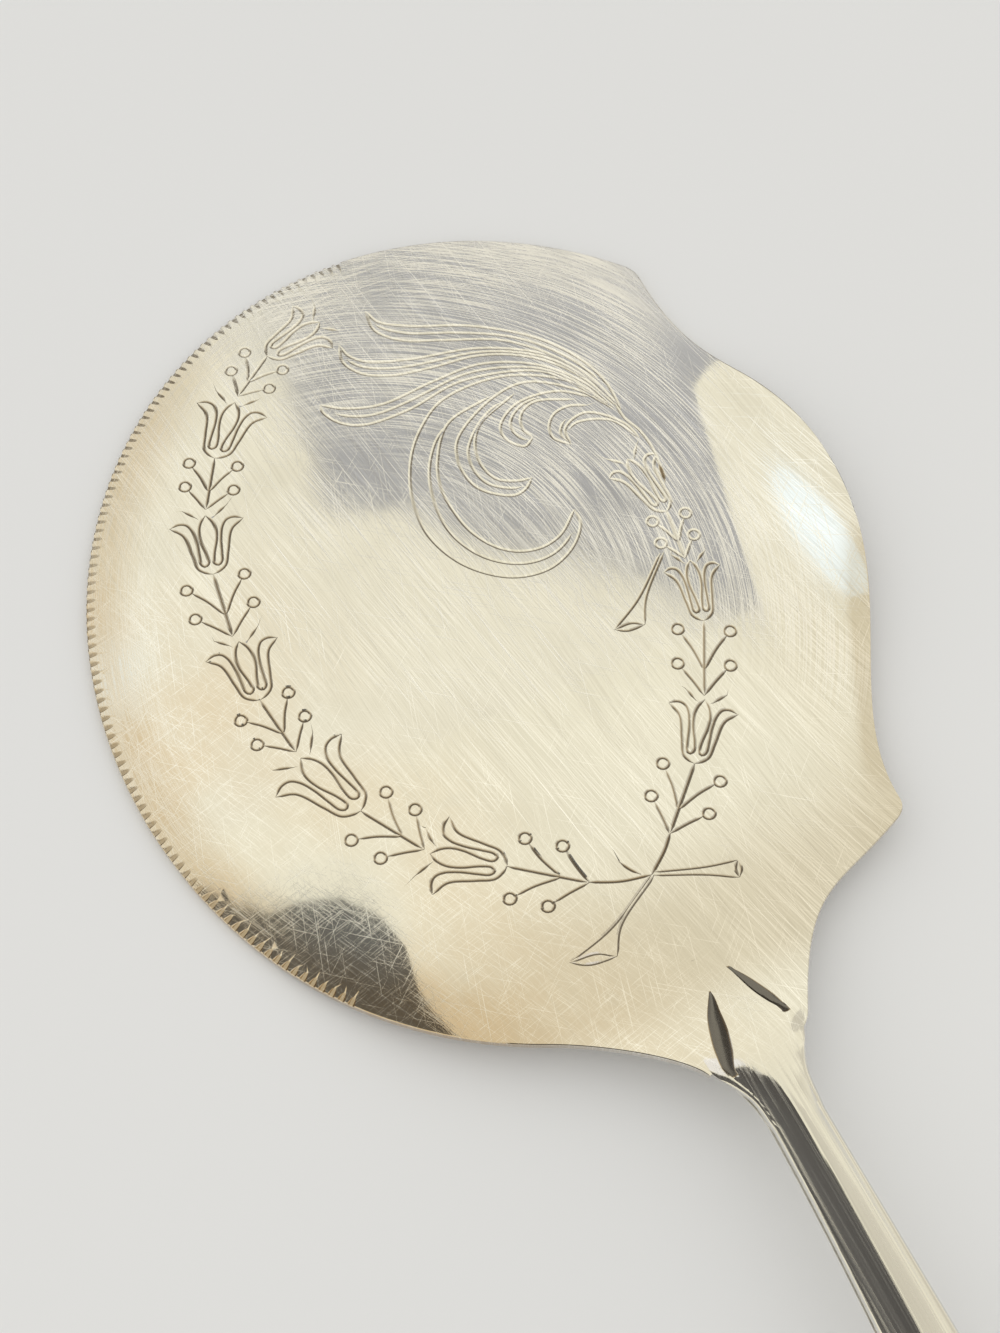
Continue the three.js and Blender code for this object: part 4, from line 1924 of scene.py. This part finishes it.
    def bead_along(
        self, name: str, path: Points, size: Pair, node: str, finish: Finish = SOLDER
    ) -> bpy.types.Object:
        """Make a bead of solder along a path.

        Args:
            name: Name of the piece.
            path: Points that it follows.
            size: Its half width across the path, and half height.
            node: CAD node that it stands for.
            finish: Its material.

        Returns:
            The bead's object.
        """
        along = np.gradient(path, axis=0)
        along /= np.linalg.norm(along, axis=1)[:, None]
        aside = np.cross(along, (0, 0, 1))
        aside /= np.linalg.norm(aside, axis=1)[:, None]
        turns = np.linspace(0, 2 * math.pi, self.bead_columns + 1)[:-1, None]
        upward = np.sin(turns) * np.array((0, 0, size[1]))
        rings = []
        for i, (point, side) in enumerate(zip(path, aside)):
            near_end = min(i, len(path) - 1 - i)
            grown = float(smooth_share(near_end, 0, self.bead_ends))
            full = self.bead_thin + (1 - self.bead_thin) * grown
            rings.append(point + (np.cos(turns) * side * size[0] + upward) * full)
        piece = Piece(name)
        piece.loft(rings, [0.0] * len(rings))
        return piece.build(finish, Slot.SOLDER, [node], self.bead_sharp)

    def seam_path(self) -> Points:
        """Line of the seam, along one side, round the end and back along the other.

        Returns:
            The line's points.
        """
        stations = [s for s in self.stations(self.drop_length) if s > self.seam_start]
        side = [self.at(s, self.form.half_width(s), 0.0) for s in stations]
        return np.array([*side, *(point * (1, -1, 1) for point in side[-2::-1])])

    def foot_path(self, side: Side) -> Points:
        """Line where the drop or heel meets the sheet.

        Args:
            side: Which half.

        Returns:
            The line on that face of the sheet.
        """
        front = self.drop_length if side is Side.UPPER else self.heel_length
        make = self.upper_ring if side is Side.UPPER else self.lower_ring
        rows = []
        near, far = self.foot_ends
        for s in np.linspace(-near, far - front, self.foot_sections):
            ring = make(s)[0]
            rows.append((ring[ring[:, 1].argmin()], ring[ring[:, 1].argmax()]))
        line = np.array([row[0] for row in rows] + [row[1] for row in rows[::-1]])
        sheet = self.form.sheet
        line[:, 2] = sheet.middle(line[:, 0], line[:, 1]) + side.value * sheet.thickness / 2
        return line

    def build(self, finish: Finish) -> list[bpy.types.Object]:
        """Make both halves and the solder that holds them.

        Args:
            finish: Material of the halves.

        Returns:
            The objects.
        """
        round_bead, low_bead = (self.bead, self.bead), (self.bead, self.bead / 2)
        flush = (2 * self.bead, self.flush_bead)
        return [
            self.half(Side.UPPER, finish),
            self.half(Side.LOWER, finish),
            self.bead_along("seam_bead", self.seam_path(), round_bead, "seam_solder"),
            self.bead_along("drop_bead", self.foot_path(Side.UPPER), flush, "drop_solder", finish),
            self.bead_along("heel_bead", self.foot_path(Side.LOWER), low_bead, "heel_solder"),
        ]


@dataclass
class NeckCore:
    """Stiffening bar inside the neck, kept from the CAD model."""

    node: str = "neck_core"

    def dress(self, finish: Finish) -> bpy.types.Object:
        """Give the bar its material.

        Args:
            finish: The material.

        Returns:
            The bar's object.
        """
        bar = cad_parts[self.node]
        bar.data.materials.clear()
        bar.data.materials.append(finish.material())
        LOG.info("%s: CAD node with its finish", self.node)
        return bar


# Studio


@dataclass(frozen=True)
class CardPaint(Finish):
    """Even glow of a studio card."""

    name: str
    glow: Colour

    def paint(self, graph: Graph) -> None:
        """Fill the graph."""
        glow = (*self.glow, 1)
        graph.surface({"Base Color": (0, 0, 0, 1), "Emission Color": glow, "Emission Strength": 1.0})


@dataclass
class Card:
    """Flat studio card that only shows as a reflection."""

    name: str
    corners: Sequence[Pair]
    height: float
    glow: Colour

    def build(self) -> None:
        """Hang the card over the table."""
        mesh = bpy.data.meshes.new(self.name)
        places = [(x * MM, y * MM, self.height * MM) for x, y in self.corners]
        mesh.from_pydata(places, [], [tuple(range(len(places)))])
        mesh.materials.append(CardPaint(f"{self.name}_paint", self.glow).material())
        made = linked(self.name, mesh)
        made.visible_camera = made.visible_diffuse = made.visible_shadow = False


@dataclass
class Studio:
    """Pale floor, soft sky of light and shade, one lamp and the camera."""

    eye: tuple[float, float, float] = (-96.4, 45.6, 197.8)
    target: tuple[float, float, float] = (-6.83, 4.30, 0.0)
    lens: float = 50.0
    sensor: float = 36.0
    nearest: float = 5.0
    floor_half: float = 2500.0
    cream: Colour = (1.02, 0.975, 0.81)
    shade: Colour = (0.25, 0.22, 0.175)
    shade_low: Pair = (0.76, 0.48)
    shade_ahead: Pair = (0.25, 0.55)
    pale: Colour = (0.80, 0.795, 0.78)
    plain: Colour = (0.92, 0.92, 0.91)
    lamp_way: tuple[float, float, float] = (0.478, 0.126, 0.869)
    lamp_far: float = 800.0
    lamp_size: Pair = (130.0, 60.0)
    lamp_watts: float = 0.0095
    lamp_colour: Colour = (0.3, 0.6, 1.0)
    cards: Sequence[Card] = (
        Card(
            "grey_card",
            ((640, -97), (498, -97), (452, -89), (404, -83), (383, -78), (370, -99), (362, -118),
             (337, -133), (323, -146), (315, -162), (307, -180), (278, -206), (229, -243), (222, -420),
            (640, -420)), 600,
            (0.48, 0.48, 0.488),
        ),
        Card(
            "cream_card",
            ((-300, -230), (12, -230), (12, 140), (-300, 140)),
            60,
            (1.01, 0.965, 0.79),
        ),
        Card("side_card", ((-300, -230), (-30, -230), (-30, -18), (-300, -18)), 58, (0.74, 0.70, 0.585)),
        Card("stem_card", ((-230, 10), (-58, 10), (-58, 110), (-230, 110)), 58, (0.085, 0.08, 0.075)),
        Card("neck_card", ((-84, 7), (-52, 7), (-52, 45), (-84, 45)), 26, (0.085, 0.08, 0.075)),
        Card("glint_card", ((-51.5, 9), (-48.5, 9), (-48.5, 22), (-51.5, 22)), 26, (1.05, 1.05, 1.04)),
        Card(
            "dark_card",
            ((-2, 47), (-4, 45.9), (-7.4, 43.3), (-8.2, 39.7), (-8.2, 35.9), (-8.7, 30.2), (-9.9, 26.3),
             (-11.3, 24.8), (-13, 25.6), (-14.4, 25.2), (-20.1, 23.9), (-24, 22), (-26, 26), (-21, 34),
            (-15, 43), (-6, 50)), 40,
            (0.145, 0.143, 0.133),
        ),
    )

    def floor(self) -> None:
        """Make the table."""
        far = self.floor_half * MM
        mesh = bpy.data.meshes.new("floor")
        corners = [(x * far, y * far, 0) for x, y in ((-1, -1), (1, -1), (1, 1), (-1, 1))]
        mesh.from_pydata(corners, [], [(0, 1, 2, 3)])
        mesh.materials.append(PaleFloor().material())
        made = linked("floor", mesh)

    def sky(self) -> None:
        """Fill the world: a cream ceiling with shade low down ahead."""
        world = bpy.data.worlds.new("soft_sky")
        bpy.context.scene.world = world
        world.use_nodes = True
        graph = Graph(world.node_tree)
        x, _, z = graph.parts(graph.out("ShaderNodeTexCoord", {}, {}, "Generated"))
        low_ahead = z.between(*self.shade_low) * x.between(*self.shade_ahead)
        colour = graph.mixed(low_ahead, self.cream, self.shade)
        path = graph.node("ShaderNodeLightPath", {}, {})
        seen, mirrored = (Value(graph, path.outputs[n]) for n in ("Is Camera Ray", "Is Glossy Ray"))
        colour = graph.mixed(mirrored, self.plain, colour)
        colour = graph.mixed(seen, colour, self.pale)
        light = graph.out("ShaderNodeBackground", {}, {"Color": colour, "Strength": 1.0})
        graph.node("ShaderNodeOutputWorld", {}, {"Surface": light})

    @staticmethod
    def aim(made: bpy.types.Object, place: Vector, way: Vector) -> None:
        """Put a lamp or the camera at a place, and turn it along a way.

        Args:
            made: The lamp or camera.
            place: Where it goes, in millimetres.
            way: Where it looks.
        """
        made.location = place * MM
        made.rotation_mode = "QUATERNION"
        made.rotation_quaternion = way.to_track_quat("-Z", "Y")

    def lamp(self) -> None:
        """Hang one soft lamp over the tip."""
        data = bpy.data.lights.new("soft_lamp", "AREA")
        data.shape, data.energy, data.color = "ELLIPSE", self.lamp_watts, self.lamp_colour
        data.size, data.size_y = (size * MM for size in self.lamp_size)
        way = Vector(self.lamp_way).normalized()
        self.aim(linked("soft_lamp", data), way * self.lamp_far, -way)

    def camera(self) -> None:
        """Set up the camera of the photograph."""
        data = bpy.data.cameras.new("camera")
        data.lens, data.sensor_width, data.clip_start = self.lens, self.sensor, self.nearest * MM
        made = linked("camera", data)
        self.aim(made, Vector(self.eye), Vector(self.target) - Vector(self.eye))
        bpy.context.scene.camera = made

    def build(self) -> None:
        """Make everything round the object."""
        bpy.context.scene.view_settings.view_transform = "Standard"
        self.floor()
        self.sky()
        for card in self.cards:
            card.build()
        self.lamp()
        self.camera()


def main() -> None:
    """Build the server piece by piece."""
    logging.basicConfig(level=logging.INFO, format="%(name)s %(message)s")
    Studio().build()
    sheet = SheetForm()
    made = [Blade(sheet, Engraving()).build(SILVER)]
    made += Handle(HandleForm(sheet)).build(SILVER)
    made.append(NeckCore().dress(CORE))
    LOG.info("pieces: %s", ", ".join(piece.name for piece in made))


if __name__ == "__main__":
    main()
